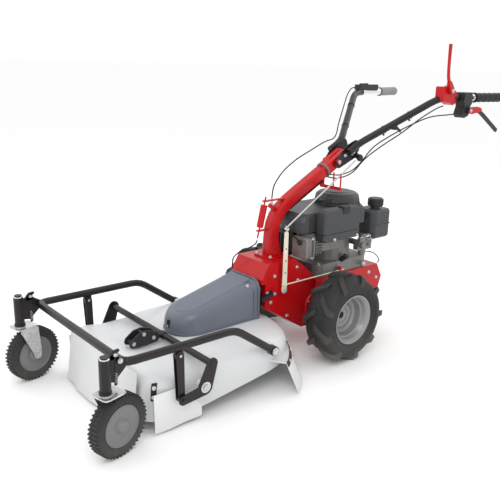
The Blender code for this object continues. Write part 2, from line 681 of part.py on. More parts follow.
# ---------------------------------------------------------------- cables
def make_cable(name, points, radius, steps):
    """A Bowden cable between two housings, as a curve with a round bevel and filled caps."""
    path = smooth_path(points, steps)
    data = bpy.data.curves.new(name, "CURVE")
    data.dimensions = "3D"
    data.bevel_depth = radius
    data.bevel_resolution = 2
    data.use_fill_caps = True
    spline = data.splines.new("POLY")
    spline.points.add(len(path) - 1)
    for point, spot in zip(spline.points, path):
        point.co = (*spot, 1)
    made = bpy.data.objects.new(name, data)
    made.location = -Vector(ORIGIN)
    data.materials.append(MATERIALS["cable_black"])
    bpy.context.scene.collection.objects.link(made)


CABLES = {
    "throttle_cable": [
        (-0.2260, 0.5020, 0.9880), (-0.2290, 0.4780, 0.9820), (-0.2230, 0.4500, 0.9590), (-0.1990, 0.4100,
            0.9310),
        (-0.1560, 0.3450, 0.8890), (-0.1180, 0.2860, 0.8460), (-0.0850, 0.2400, 0.8130), (-0.0640, 0.1980,
            0.7960),
        (-0.0540, 0.1380, 0.7870), (-0.0480, 0.0570, 0.7600), (-0.0400, -0.0290, 0.7300), (-0.0280,
            -0.1050, 0.6930),
        (-0.0130, -0.1600, 0.6500), (-0.0030, -0.1790, 0.6080),
    ],
    "brake_cable": [
        (0.2440, 0.5870, 0.9060), (0.2300, 0.5400, 0.9020), (0.2060, 0.4550, 0.8940), (0.1800, 0.3670,
            0.8640),
        (0.1300, 0.3050, 0.8180), (0.0930, 0.2580, 0.7740), (0.0740, 0.2180, 0.7200), (0.0600, 0.1800,
            0.6860),
        (0.0300, 0.1440, 0.6680), (0.0020, 0.1200, 0.6680), (-0.0060, 0.0980, 0.6620), (-0.0060, 0.0020,
            0.6130),
        (-0.0060, -0.0930, 0.5580), (-0.0060, -0.1340, 0.5180), (-0.0060, -0.1480, 0.4800), (-0.0060,
            -0.1430, 0.4350),
        (-0.0060, -0.1350, 0.4120), (-0.0060, -0.1320, 0.3980),
    ],
    "clutch_cable": [
        (0.2150, 0.5200, 0.9360), (0.2060, 0.4850, 0.9240), (0.1870, 0.4180, 0.8880), (0.1590, 0.3450,
            0.8340),
        (0.1150, 0.2830, 0.7810), (0.0800, 0.2350, 0.7330), (0.0540, 0.1900, 0.6760), (0.0220, 0.1480,
            0.6540),
        (-0.0080, 0.1220, 0.6560), (-0.0145, 0.0980, 0.6610), (-0.0145, 0.0020, 0.6130), (-0.0145,
            -0.0930, 0.5580),
        (-0.0145, -0.1340, 0.5180), (-0.0145, -0.1480, 0.4800), (-0.0145, -0.1430, 0.4350), (-0.0145,
            -0.1350, 0.4120),
        (-0.0145, -0.1320, 0.3980),
    ],
    "lock_cable": [
        (0.0000, -0.2460, 0.4570), (-0.0040, -0.2530, 0.4430), (-0.0200, -0.2710, 0.4270), (-0.0460,
            -0.2910, 0.4090),
        (-0.0660, -0.3020, 0.3850), (-0.0700, -0.3040, 0.3560), (-0.0700, -0.3040, 0.3440),
    ],
}


def make_cables():
    for name, points in CABLES.items():
        make_cable(name, points, CABLE_R, 2 if len(points) > 16 else 3)


# ---------------------------------------------------------------- engine
def make_engine():
    axis_y = ENGINE_Y - 0.030
    base = rounded_box((-0.092, -0.015, CHASSIS_TOP + GAP), (0.092, 0.276, 0.340), 0.030, "Z", 2)
    case = turned([(0.336, 0), (0.336, 0.088), (0.470, 0.084), (0.4795, 0.078), (0.4795, 0)], (0, axis_y,
        0), (0, 0, 1), 20)
    barrel = box((0.052, -0.050, 0.396), (0.094, 0.095, 0.466))
    fins = [box((0.044, y, 0.388), (0.0965, y + 0.004, 0.476)) for y in (-0.046, -0.034, -0.022, -0.010)]
    head = rounded_box((0.050, -0.0840, 0.386), (0.0965, -0.048, 0.476), 0.008, "Y", 2)
    stub = rod((0, axis_y, 0.245), (0, axis_y, 0.30), 0.0125, 12)
    bowl = rod((0.110, 0.215, 0.356), (0.110, 0.215, 0.436), 0.016, 12)
    intake = rod((0.050, 0.215, 0.396), (0.112, 0.215, 0.396), 0.012, 12)
    carburettor = [box((0.0955, 0.180, 0.376), (0.126, 0.255, 0.410)), bowl, intake]
    engine = fuse(base, case, barrel, head, *fins, stub, *carburettor)
    place("engine_block", engine, "cast_aluminium", (0, ENGINE_Y, CHASSIS_TOP))
    cover = rounded_box((0.050, -0.1200, 0.390), (0.132, -0.0885, 0.470), 0.014, "Y", 3)
    flange = rounded_box((0.046, -0.0900, 0.385), (0.137, -0.0845, 0.4755), 0.010, "Y", 2)
    place("valve_cover", fuse(bevelled(cover, 0.004, 1), flange), "cast_aluminium", (0.09, -0.085, 0.430))
    low, high = SHROUD_Z
    outline = [(-0.118, 0.030), (-0.085, -0.075), (-0.020, -0.112), (0.060, -0.118), (0.0975, -0.100),
               (0.0975, 0.235),
               (0.060, 0.274), (-0.070, 0.274), (-0.118, 0.205)]
    outline = rounded(outline, 0.03, 2)
    centre = Vector((0.0, 0.07))
    rings = []
    for z, share in ((low, 1.0), (0.520, 1.0), (0.540, 0.955), (high, 0.90)):
        rings.append([(*(centre + (Vector(p) - centre) * share), z) for p in outline])
    place("engine_shroud", rings_body(rings), "black_plastic", (0, ENGINE_Y, low))
    dome = [(0, 0), (0, 0.088), (0.014, 0.090), (0.034, 0.086), (0.045, 0.074), (0.048, 0.056), (0.048, 0)]
    place("recoil_cover", turned(dome, (0, ENGINE_Y + 0.008, high + GAP), (0, 0, 1), 24), "black_plastic",
          (0, ENGINE_Y + 0.008, high + GAP))
    at = (0.046, 0.018, 0.582)
    grip = fuse(rod((0.027, *at[1:]), (0.065, *at[1:]), 0.0075, 10), rod(at, (at[0], 0.088, at[2]),
        0.0030, 8))
    place("starter_grip", grip, "black_plastic", at)


def make_engine_dress():
    low = (0.0980 + GAP, -0.047, 0.444)
    high = (0.146, 0.152, 0.566)
    place("air_filter_box", bevelled(rounded_box(low, high, 0.012, "X", 2), 0.006, 1), "black_plastic", low)
    outline = [(0.010, 0.2760), (0.092, 0.2760), (0.112, 0.292), (0.112, 0.388), (0.010, 0.388)]
    tank = bevelled(prism(rounded(outline, 0.016, 2), 0.402, 0.5200, "Z"), 0.008, 1)
    neck_at = (0.068, 0.334)
    neck = rod((*neck_at, 0.516), (*neck_at, 0.5300), 0.020, 20)
    place("fuel_tank", fuse(tank, neck), "black_plastic", (0.06, 0.33, 0.402))
    profile = [(0, 0), (0, 0.0300), (0.003, 0.0315), (0.027, 0.0315), (0.032, 0.028), (0.033, 0)]
    cap_at = (*neck_at, 0.5305)
    place("fuel_cap", turned(profile, cap_at, (0, 0, 1), 20), "black_plastic", cap_at)
    muffler = bevelled(rounded_box((-0.080, -0.108, 0.380), (0.034, -0.028, 0.474), 0.016, "Y", 2), 0.005,
                       1)
    place("muffler", muffler, "black_paint", (-0.02, -0.07, 0.380))


# ---------------------------------------------------------------- mower deck
def deck_outline(inset):
    """The plan of the deck drawn in towards its middle by the inset."""
    half = [
        (0.110, DECK_FRONT), (0.212, DECK_FRONT), (0.247, -0.868), (0.262, -0.838), (0.269, -0.760),
        (DECK_X, -0.660), (DECK_X, -0.480), (0.270, -0.410), (0.260, -0.352), (0.235, -0.305),
        (0.192, -0.270), (0.137, -0.246), (0.070, -0.232),
    ]
    middle = -0.556
    reach = 1 - inset / DECK_X
    return [Vector((x * reach * side, middle + (y - middle) * reach)) for side, row in ((1, half), (-1,
        half[::-1]))
            for x, y in row]


def deck_foot(y):
    """Height of the deck's lower edge: low in front and rising towards the tractor."""
    return 0.056 + max(0.0, y + 0.70) * 0.125


def deck_crown(y):
    """Height of the deck's top: a shallow dip under the cross shaft and a raised front edge."""
    dip = max(0.0, min(1.0, (-0.60 - y) / 0.06))
    rise = max(0.0, (-0.74 - y) / 0.14)
    return 0.1955 - 0.010 * dip + 0.026 * rise


def deck_rings(shift, foot_drop):
    """Rings of the deck's skin; shift pulls the skin inwards for the hollow."""
    rings = []
    for inset, height in ((0.0, 0.0), (0.002, 0.60), (0.014, 0.84), (0.050, 0.965), (0.110, 1.0)):
        ring = []
        for p in deck_outline(inset + shift):
            low = deck_foot(p.y) - foot_drop
            ring.append((p.x, p.y, low + (deck_crown(p.y) - shift - low) * height))
        rings.append(ring)
    return rings


def make_deck():
    shell = cut(rings_body(deck_rings(0.0, 0.0)), rings_body(deck_rings(DECK_SHEET, 0.05)))
    extras = []
    for side in (1, -1):
        y, z = FRAME_PIVOT_YZ
        foot = [(y - 0.026, 0.130), (y + 0.026, 0.130), (y + 0.016, z + 0.017), (y - 0.016, z + 0.017)]
        extras.append(prism(rounded(foot, 0.006, 1), *ends(0.250, FRAME_X - 0.0145, side)))
        extras.append(rod((side * 0.26, y, z), (side * (FRAME_X + 0.0150), y, z), 0.0062, 10))
        extras.append(rod((side * (FRAME_X + 0.0140), y, z), (side * (FRAME_X + 0.0200), y, z), 0.0115, 6))
        y, z = CRANK_YZ
        extras.append(rod((side * 0.262, y, z), (side * (CRANK_X[0] - 0.0008), y, z), 0.0130, 12))
        extras.append(rod((side * 0.280, y, z), (side * (CRANK_X[1] + 0.0040), y, z), 0.0080, 12))
        extras.append(rod((side * (CRANK_X[1] + 0.0010), y, z), (side * (CRANK_X[1] + 0.0095), y, z),
                          0.0155, 6))
    hitch = prism([(-0.372, 0.190), (-0.372, 0.202), (-0.318, 0.2180), (-0.3025, 0.2180), (-0.3025,
        0.190)], -0.060, 0.060)
    bearing = turned([(0.150, 0), (0.150, 0.034), (0.178, 0.046), (0.194, 0.046), (0.194, 0)], (0,
        BLADE_Y, 0), (0, 0, 1), 20)
    deck = fuse(shell, *extras, hitch, bearing)
    mouth = box((-0.205, DECK_FRONT - 0.05, 0.0), (0.205, DECK_FRONT + 0.05, 0.150))
    bore = rod((0, BLADE_Y, 0.10), (0, BLADE_Y, 0.25), 0.0132, 20)
    place("mower_deck", cut(deck, mouth, bore), "deck_paint", (0, BLADE_Y, 0.195))


def cover_outline(inset, steps=10):
    """The U-shaped plan of the transmission cover."""
    rear, nose_y, wide = -0.3030, -0.550, 0.086
    points = [(wide + 0.002 - inset, rear)]
    for k in range(steps + 1):
        a = pi * k / steps
        points.append(((wide - inset) * cos(a), nose_y - (wide - inset) * sin(a)))
    return points + [(-wide - 0.002 + inset, rear)]


def cover_top(y):
    return 0.3385 + min(0.0, (y + 0.303) * 0.245)


def cover_rings(shift, drop, rear_push=0.0):
    rings = []
    for inset, share in ((0.0, None), (0.0035, 0.030), (0.009, 0.012), (0.024, 0.0)):
        ring = []
        for x, y in cover_outline(inset + shift):
            z = 0.1965 - drop if share is None else cover_top(y) - share - shift
            ring.append((x, y + (rear_push if y > -0.31 else 0.0), z))
        rings.append(ring)
    return rings


def make_cover():
    shell = cut(rings_body(cover_rings(0.0, 0.0)), rings_body(cover_rings(0.0032, 0.02, 0.02)))
    place("transmission_cover", shell, "grey_cover", (0, -0.303, 0.24))


def make_drive_line():
    """The shaft tube and angle gearbox under the cover, the shaft in them and the blade's spindle."""
    gear_y = BLADE_Y
    flange = rounded_box((-0.070, -0.2990, 0.2200), (0.070, -0.2780, 0.3120), 0.012, "Y", 2)
    tube = rod((0, -0.295, PTO_Z), (0, -0.505, PTO_Z), 0.0205, 16)
    housing = rounded_box((-0.034, -0.584, 0.1962), (0.034, -0.500, 0.2640), 0.012, "Z", 2)
    casing = fuse(flange, tube, housing)
    cavity = box((-0.026, -0.576, 0.2040), (0.026, -0.510, 0.2590))
    shaft_bore = rod((0, -0.26, PTO_Z), (0, -0.52, PTO_Z), 0.0108, 20)
    spindle_bore = rod((0, gear_y, 0.18), (0, gear_y, 0.22), 0.0132, 20)
    place("angle_gearbox", cut(casing, cavity, shaft_bore, spindle_bore), "black_paint", (0, BLADE_Y, 0.23))
    back, front, gap = 0.016, 0.009, 0.0003
    start = -0.240
    reach = start - gear_y
    profile = [(0, 0), (0, 0.0100), (reach - back - 0.005, 0.0100), (reach - back - 0.005, back - gap),
               (reach - back, back - gap), (reach - front, front - gap), (reach - front, 0)]
    place("drive_shaft", turned(profile, (0, start, PTO_Z), (0, -1, 0), 16), "steel", (0, start, PTO_Z))
    profile = [(0.076, 0), (0.076, 0.011), (0.086, 0.0125), (PTO_Z - back - 0.005, 0.0125),
               (PTO_Z - back - 0.005, back - gap),
               (PTO_Z - back, back - gap), (PTO_Z - front, front - gap), (PTO_Z - front, 0)]
    carrier = [(0.100, 0), (0.100, 0.030), (0.106, 0.032), (0.118, 0.020), (0.118, 0)]
    spindle = fuse(turned(profile, (0, gear_y, 0), (0, 0, 1), 16), turned(carrier, (0, gear_y, 0), (0, 0,
        1), 16))
    place("blade_spindle", spindle, "steel", (0, gear_y, 0.1))


def make_blade():
    width, tip = 0.028, BLADE_R
    outline = [(-tip, -0.5 * width), (-tip * 0.62, -width), (tip * 0.62, -width), (tip, -width), (tip,
        0.5 * width),
               (tip * 0.62, width), (-tip * 0.62, width), (-tip, width)]
    outline = [(x, BLADE_Y + y) for x, y in outline]
    blade = prism(outline, BLADE_Z - 0.003, BLADE_Z + 0.003, "Z")
    wings = []
    for side in (1, -1):
        wing = [(side * tip * 0.72, side * width - side * 0.008), (side * tip * 0.98,
            side * width - side * 0.008),
                (side * tip * 0.98, side * width), (side * tip * 0.72, side * width)]
        wings.append(prism([(x, BLADE_Y + y) for x, y in wing], BLADE_Z, BLADE_Z + 0.014, "Z"))
    bore = rod((0, BLADE_Y, 0.05), (0, BLADE_Y, 0.15), 0.0131, 18)
    place("blade", cut(fuse(blade, *wings), bore), "steel", (0, BLADE_Y, BLADE_Z))


# ---------------------------------------------------------------- front frame, casters and height gear
def make_frame():
    def side_points(side):
        rows = [FRAME_PIVOT_YZ, FRAME_BEND_YZ, FRAME_FRONT_YZ]
        return [(side * FRAME_X, y, z) for y, z in rows]

    path = bent_path(side_points(1) + side_points(-1)[::-1], 0.032, 3)
    pieces = []
    for name, side in SIDES:
        y, z = FRAME_PIVOT_YZ
        pieces.append(rod((side * (FRAME_X - 0.0135), y, z), (side * (FRAME_X + 0.0135), y, z), 0.0165, 12))
        y, z = LINK_TOP_YZ
        hanger = [(y - 0.015, z + 0.024), (y - 0.012, z - 0.008), (y, z - 0.013), (y + 0.012, z - 0.008),
                  (y + 0.015, z + 0.024)]
        pieces.append(prism(hanger, *ends(FRAME_X - 0.0045, FRAME_X + 0.0045, side)))
        post = (side * POST_X, POST_Y)
        pieces.append(rod((*post, 0.2205), (*post, 0.3200), 0.0160, 12))
        pieces.append(rod((*post, 0.3190), (*post, 0.3270), 0.0125, 12))
        y, z = FRAME_FRONT_YZ
        cheek = [(POST_Y, 0.246), (POST_Y, 0.312), (y - 0.030, 0.322), (y + 0.005, z + 0.012), (y + 0.005,
            z - 0.012),
                 (y - 0.032, 0.240)]
        pieces.append(prism(cheek, *ends(POST_X - 0.0140, POST_X - 0.0080, side)))
        boss = (POST_Y + 0.046, 0.303)
        pieces.append(rod((side * (POST_X - 0.017), *boss), (side * (POST_X + 0.002), *boss), 0.0095, 10))
        spot = (side * (POST_X - 0.010), y - 0.026)
        pieces.append(rod((*spot, 0.2300), (*spot, 0.3180), 0.0045, 8))
    frame = fuse(swept(path, circle(FRAME_R, 10), (0, 0, 1)), *pieces)
    bores = []
    for name, side in SIDES:
        y, z = FRAME_PIVOT_YZ
        bores.append(rod((side * 0.262, y, z), (side * 0.308, y, z), 0.0072, 10))
        bores.append(rod((side * 0.27, *LINK_TOP_YZ), (side * 0.30, *LINK_TOP_YZ), 0.0056, 10))
        bores.append(rod((side * POST_X, POST_Y, 0.20), (side * POST_X, POST_Y, 0.300), 0.0102, 12))
    place("front_frame", cut(frame, *bores), "black_paint", (0, *FRAME_PIVOT_YZ))


def make_casters():
    arm_x = CASTER_W / 2 + 0.0085
    for name, side in SIDES:
        post = Vector((side * POST_X, POST_Y, 0))
        hub = post + Vector((0, CASTER_TRAIL, CASTER_R + ORIGIN[2]))
        low = (post.x - arm_x - 0.003, post.y - 0.026, 0.2125)
        high = (post.x + arm_x + 0.003, post.y + 0.050, 0.2170)
        outline = [(post.y - 0.022, 0.216), (post.y + 0.047, 0.216), (hub.y + 0.015, hub.z + 0.012),
                   (hub.y + 0.011, hub.z - 0.012), (hub.y - 0.011, hub.z - 0.012),
                   (hub.y - 0.015, hub.z + 0.008)]
        cheek = (post.x - side * arm_x, post.x - side * (arm_x + 0.004))
        pieces = [prism(rounded(outline, 0.008, 1), *sorted(cheek))]
        nut = hub.x - side * (arm_x + 0.0035)
        pieces.append(rod((nut, hub.y, hub.z), (nut - side * 0.006, hub.y, hub.z), 0.0100, 6))
        spacer = hub.x - side * (CASTER_W / 2 + 0.0046)
        pieces.append(rod((spacer, hub.y, hub.z), (hub.x - side * (arm_x + 0.001), hub.y, hub.z), 0.0095, 12))
        head = hub.x + side * (CASTER_W / 2 + 0.0046)
        pieces.append(rod((head, hub.y, hub.z), (head + side * 0.003, hub.y, hub.z), 0.0095, 12))
        pieces.append(rod((*post.xy, 0.214), (*post.xy, 0.2950), 0.0095, 16))
        pieces.append(rod((*post.xy, 0.214), (*post.xy, 0.2200), 0.0185, 16))
        pieces.append(rod((nut, hub.y, hub.z), (head + side * 0.002, hub.y, hub.z), 0.0058, 12))
        fork = fuse(rounded_box(low, high, 0.012, "Z", 2), *pieces)
        turn = CASTER_TURN[name]
        place(name + "_fork", fork, "zinc", (post.x, post.y, 0.214), turn)
        spun = Matrix.Translation(post) @ Matrix.Rotation(turn, 4, "Z") @ Matrix.Translation(-post)
        half = CASTER_W / 2
        disc = [(half + 0.004, 0.0066), (half + 0.004, 0.016), (half - 0.002, 0.020), (half - 0.002, 0.0612)]
        disc = [(-along, radius) for along, radius in reversed(disc)] + disc
        tread = CASTER_R / cos(pi / 20)
        ring = [(half, 0.0620), (half, 0.0880), (half - 0.004, tread)]
        ring = [(-along, radius) for along, radius in reversed(ring)] + ring
        for part, profile, finish in (("wheel", disc, "disc_plastic"), ("tyre", ring, "tyre_rubber")):
            thing = turned(profile, (0, 0, 0), (1, 0, 0), 20, pi / 20)
            place(name + "_caster_" + part, thing, finish, (0, 0, 0), turn)
            thing.location = spun @ hub - Vector(ORIGIN)


def make_height_gear():
    end = CRANK_X[1] + 0.001
    shaft = rod((-end, *SHAFT_YZ), (end, *SHAFT_YZ), 0.0110, 12)
    pieces = []
    cheek = hull_outline([(*SHAFT_YZ, 0.0200), (*CRANK_YZ, 0.0270)])
    toe = hull_outline([(CRANK_YZ[0], CRANK_YZ[1] - 0.008, 0.0180), (*LINK_FOOT_YZ, 0.0155)])
    for name, side in SIDES:
        pieces.append(prism(cheek, *ends(*CRANK_X, side)))
        pieces.append(prism(toe, *ends(*CRANK_X, side)))
        pieces.append(rod((side * 0.2738, *LINK_FOOT_YZ), (side * (CRANK_X[1] + 0.004), *LINK_FOOT_YZ),
                          0.0052, 12))
    clamp_x = 0.029
    pieces.append(rod((clamp_x - 0.011, *SHAFT_YZ), (clamp_x + 0.011, *SHAFT_YZ), 0.0135, 12))
    pieces.append(slope_box(SHAFT_YZ, (SHAFT_YZ[0] - 0.052, SHAFT_YZ[1] + 0.004), 0.006, clamp_x - 0.005,
                            clamp_x + 0.005))
    bores = [rod((side * 0.29, *CRANK_YZ), (side * 0.31, *CRANK_YZ), 0.0086, 12) for side in (1, -1)]
    place("height_crank", cut(fuse(shaft, *pieces), *bores), "black_paint", (0, *CRANK_YZ))
    top, foot = LINK_TOP_YZ, LINK_FOOT_YZ
    strap = hull_outline([(*top, 0.0135), (*foot, 0.0105)])
    for name, side in SIDES:
        plates = [prism(strap, *ends(FRAME_X + a, FRAME_X + a + 0.0026, side)) for a in (-0.0090, 0.0064)]
        web = slope_box((top[0] + 0.0095, top[1] - 0.032), (foot[0] + 0.0075, foot[1] + 0.020), 0.0015,
                        *ends(FRAME_X - 0.008, FRAME_X + 0.008, side))
        pin = rod((side * (FRAME_X - 0.0095), *top), (side * (FRAME_X + 0.0105), *top), 0.0050, 12)
        bore = rod((side * 0.27, *foot), (side * 0.30, *foot), 0.0075, 12)
        link = cut(fuse(plates[0], web, plates[1], pin), bore)
        place(name + "_link", link, "black_paint", (side * FRAME_X, *top))
    outline = [(-0.812, 0.2030), (-0.806, 0.222), (-0.778, 0.242), (-0.748, 0.246), (-0.716, 0.236),
               (-0.700, 0.222),
               (-0.704, 0.2000), (-0.750, 0.1955), (-0.800, 0.1990)]
    cheeks = [prism(rounded(outline, 0.006, 1), x, x + 0.004) for x in (0.010, 0.044)]
    ties = [rod((0.011, y, z), (0.047, y, z), 0.0055, 8) for y, z in ((-0.796, 0.212), (-0.758, 0.236))]
    foot = box((0.010, -0.796, 0.1985), (0.048, -0.760, 0.2035))
    place("height_quadrant", fuse(cheeks[0], *ties, foot, cheeks[1]), "black_plastic", (0.03, -0.76, 0.20))


# ---------------------------------------------------------------- flaps
def strip_solid(rows, thickness):
    """A thin closed sheet from rows of points; the thickness goes along each row's own outward vector."""
    count = len(rows[0][0])
    front = [Vector(p) for points, _ in rows for p in points]
    back = [Vector(p) + Vector(n) * thickness for points, normals in rows for p, n in zip(points, normals)]
    vertices = front + back
    shift = len(front)
    faces = []
    for r in range(len(rows) - 1):
        for k in range(count - 1):
            a = r * count + k
            faces.append([a, a + 1, a + count + 1, a + count])
            faces.append([shift + a, shift + a + count, shift + a + count + 1, shift + a + 1])
    for k in range(count - 1):
        low, high = k, (len(rows) - 1) * count + k
        faces.append([low, shift + low, shift + low + 1, low + 1])
        faces.append([high, high + 1, shift + high + 1, shift + high])
    for r in range(len(rows) - 1):
        low, high = r * count, (r + 1) * count
        faces.append([low, high, shift + high, shift + low])
        low, high = low + count - 1, high + count - 1
        faces.append([low, shift + low, shift + high, high])
    return body(vertices, faces)


def make_flaps():
    profile = [(-0.8830, 0.2000), (-0.8880, 0.1750), (-0.8960, 0.1300), (-0.9010, 0.0800), (-0.9040,
        0.0240)]
    stations = [-0.212 + 0.053 * k for k in range(9)]
    rows = []
    for y, z in profile:
        bulge = (0.2 - z) * 0.08
        points = [(x, y - bulge * (1 - (x / 0.212) ** 2), z) for x in stations]
        rows.append((points, [(0, -1, 0)] * len(stations)))
    place("front_curtain", strip_solid(rows, 0.0025), "flap_rubber", (0, -0.883, 0.20))
    outline = [(-0.866, 0.150), (-0.775, 0.150), (-0.700, 0.074), (-0.690, 0.060), (-0.694, 0.030),
               (-0.757, 0.028),
               (-0.861, 0.022)]
    for name, side in SIDES:
        flap = prism(rounded(outline, 0.006, 1), *ends(0.2712, 0.2732, side))
        place(name + "_side_flap", flap, "flap_rubber", (side * 0.2712, -0.78, 0.15))
    centre = Vector((0, -0.5900))
    rows = []
    for radius, z in ((0.377, 0.128), (0.392, 0.100), (0.410, 0.066), (0.424, 0.026)):
        points, normals = [], []
        for k in range(17):
            a = radians(-56 + 7 * k)
            out = Vector((sin(a), cos(a)))
            spot = centre + out * radius
            points.append((spot.x, spot.y, z))
            normals.append((out.x, out.y, 0.4))
        rows.append((points, normals))
    place("rear_skirt", strip_solid(rows, 0.0025), "flap_rubber", (0, -0.23, 0.128))


def main():
    clear_scene()
    make_materials()
    make_axle()
    make_drive_wheels()
    make_gearbox()
    make_hood()
    make_chassis()
    make_latch()
    make_column()
    make_lock_handle()
    make_clamp()
    make_handlebars()
    make_brake_lever()
    make_clutch_lever()
    make_throttle()
    make_selector()
    make_cables()
    make_engine()
    make_engine_dress()
    make_deck()
    make_cover()
    make_drive_line()
    make_blade()
    make_frame()
    make_casters()
    make_height_gear()
    make_flaps()


main()
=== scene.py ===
import json
from math import cos, pi, radians, sin

import bmesh
import bpy
from mathutils import Matrix, Vector


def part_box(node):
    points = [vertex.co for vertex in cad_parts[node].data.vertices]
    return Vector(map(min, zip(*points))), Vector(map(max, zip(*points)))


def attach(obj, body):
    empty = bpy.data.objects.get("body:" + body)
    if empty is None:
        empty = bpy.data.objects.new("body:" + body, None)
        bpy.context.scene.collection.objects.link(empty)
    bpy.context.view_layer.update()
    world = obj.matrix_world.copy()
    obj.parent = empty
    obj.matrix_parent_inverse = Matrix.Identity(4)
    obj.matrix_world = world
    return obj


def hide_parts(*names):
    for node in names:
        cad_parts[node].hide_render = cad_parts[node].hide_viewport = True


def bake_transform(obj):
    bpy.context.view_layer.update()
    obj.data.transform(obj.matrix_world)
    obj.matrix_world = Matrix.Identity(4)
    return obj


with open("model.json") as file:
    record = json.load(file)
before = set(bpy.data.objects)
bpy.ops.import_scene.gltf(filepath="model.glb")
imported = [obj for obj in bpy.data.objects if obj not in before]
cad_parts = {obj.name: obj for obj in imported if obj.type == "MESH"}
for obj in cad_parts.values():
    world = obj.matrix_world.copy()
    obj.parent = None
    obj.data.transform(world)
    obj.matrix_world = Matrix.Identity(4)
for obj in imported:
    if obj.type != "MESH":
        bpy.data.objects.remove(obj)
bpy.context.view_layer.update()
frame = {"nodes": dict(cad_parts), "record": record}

NODES = frame["nodes"]
JOINTS = {joint["name"]: joint for joint in frame["record"]["behaviour"]["joints"]}

# The sub-parts are laid out in a drawing frame whose drive axle is at AXLE; SHIFT takes it to the row frame.
AXLE = Vector((0.0, -0.012, 0.181))
SHIFT = Vector(JOINTS["axle_spin"]["pos_m"]) - AXLE
SIDES = (("left", 1), ("right", -1))


# ---------------------------------------------------------------- materials
def node(tree, kind, **inputs):
    made = tree.nodes.new(kind)
    for key, value in inputs.items():
        made.inputs[key.replace("_", " ")].default_value = value
    return made


def finish(name, color, rough, metal=0.0, vary=0.1, cloud=9.0, grain=350.0, bump=0.12, depth=0.0006,
           coat=0.0,
           dust=0.0, shine=0.5):
    """A procedural surface: cloudy colour, fine grain in the bump, uneven roughness and dust low down."""
    made = bpy.data.materials.new(name)
    made.use_nodes = True
    tree = made.node_tree
    shader = tree.nodes["Principled BSDF"]
    shader.inputs["Metallic"].default_value = metal
    shader.inputs["Coat Weight"].default_value = coat
    shader.inputs["Specular IOR Level"].default_value = shine
    shader.inputs["Coat Roughness"].default_value = 0.12
    place = tree.nodes.new("ShaderNodeTexCoord")
    clouds = node(tree, "ShaderNodeTexNoise", Scale=cloud, Detail=6.0, Roughness=0.62)
    tree.links.new(place.outputs["Object"], clouds.inputs["Vector"])
    fine = node(tree, "ShaderNodeTexNoise", Scale=grain, Detail=3.0, Roughness=0.6)
    tree.links.new(place.outputs["Object"], fine.inputs["Vector"])
    ramp = tree.nodes.new("ShaderNodeValToRGB")
    ramp.color_ramp.elements[0].position = 0.32
    ramp.color_ramp.elements[1].position = 0.68
    ramp.color_ramp.elements[0].color = (*[c * (1 - vary) for c in color], 1)
    ramp.color_ramp.elements[1].color = (*[min(1.0, c * (1 + vary)) for c in color], 1)
    tree.links.new(clouds.outputs["Fac"], ramp.inputs["Fac"])
    tint = ramp.outputs["Color"]
    if dust:
        split = tree.nodes.new("ShaderNodeSeparateXYZ")
        tree.links.new(place.outputs["Object"], split.inputs["Vector"])
        low = node(tree, "ShaderNodeMapRange", From_Min=0.0, From_Max=0.16, To_Min=dust, To_Max=0.0)
        tree.links.new(split.outputs["Z"], low.inputs["Value"])
        mask = tree.nodes.new("ShaderNodeMath")
        mask.operation = "MULTIPLY"
        tree.links.new(low.outputs["Result"], mask.inputs[0])
        tree.links.new(clouds.outputs["Fac"], mask.inputs[1])
        blend = tree.nodes.new("ShaderNodeMix")
        blend.data_type = "RGBA"
        blend.inputs["B"].default_value = (0.36, 0.33, 0.28, 1)
        tree.links.new(mask.outputs["Value"], blend.inputs["Factor"])
        tree.links.new(tint, blend.inputs["A"])
        tint = blend.outputs["Result"]
    tree.links.new(tint, shader.inputs["Base Color"])
    spread = node(tree, "ShaderNodeMapRange", From_Min=0.3, From_Max=0.7, To_Min=max(0.03, rough - 0.07),
                  To_Max=min(1.0, rough + 0.08))
    tree.links.new(clouds.outputs["Fac"], spread.inputs["Value"])
    tree.links.new(spread.outputs["Result"], shader.inputs["Roughness"])
    relief = node(tree, "ShaderNodeBump", Strength=bump, Distance=depth)
    tree.links.new(fine.outputs["Fac"], relief.inputs["Height"])
    tree.links.new(relief.outputs["Normal"], shader.inputs["Normal"])
    return made


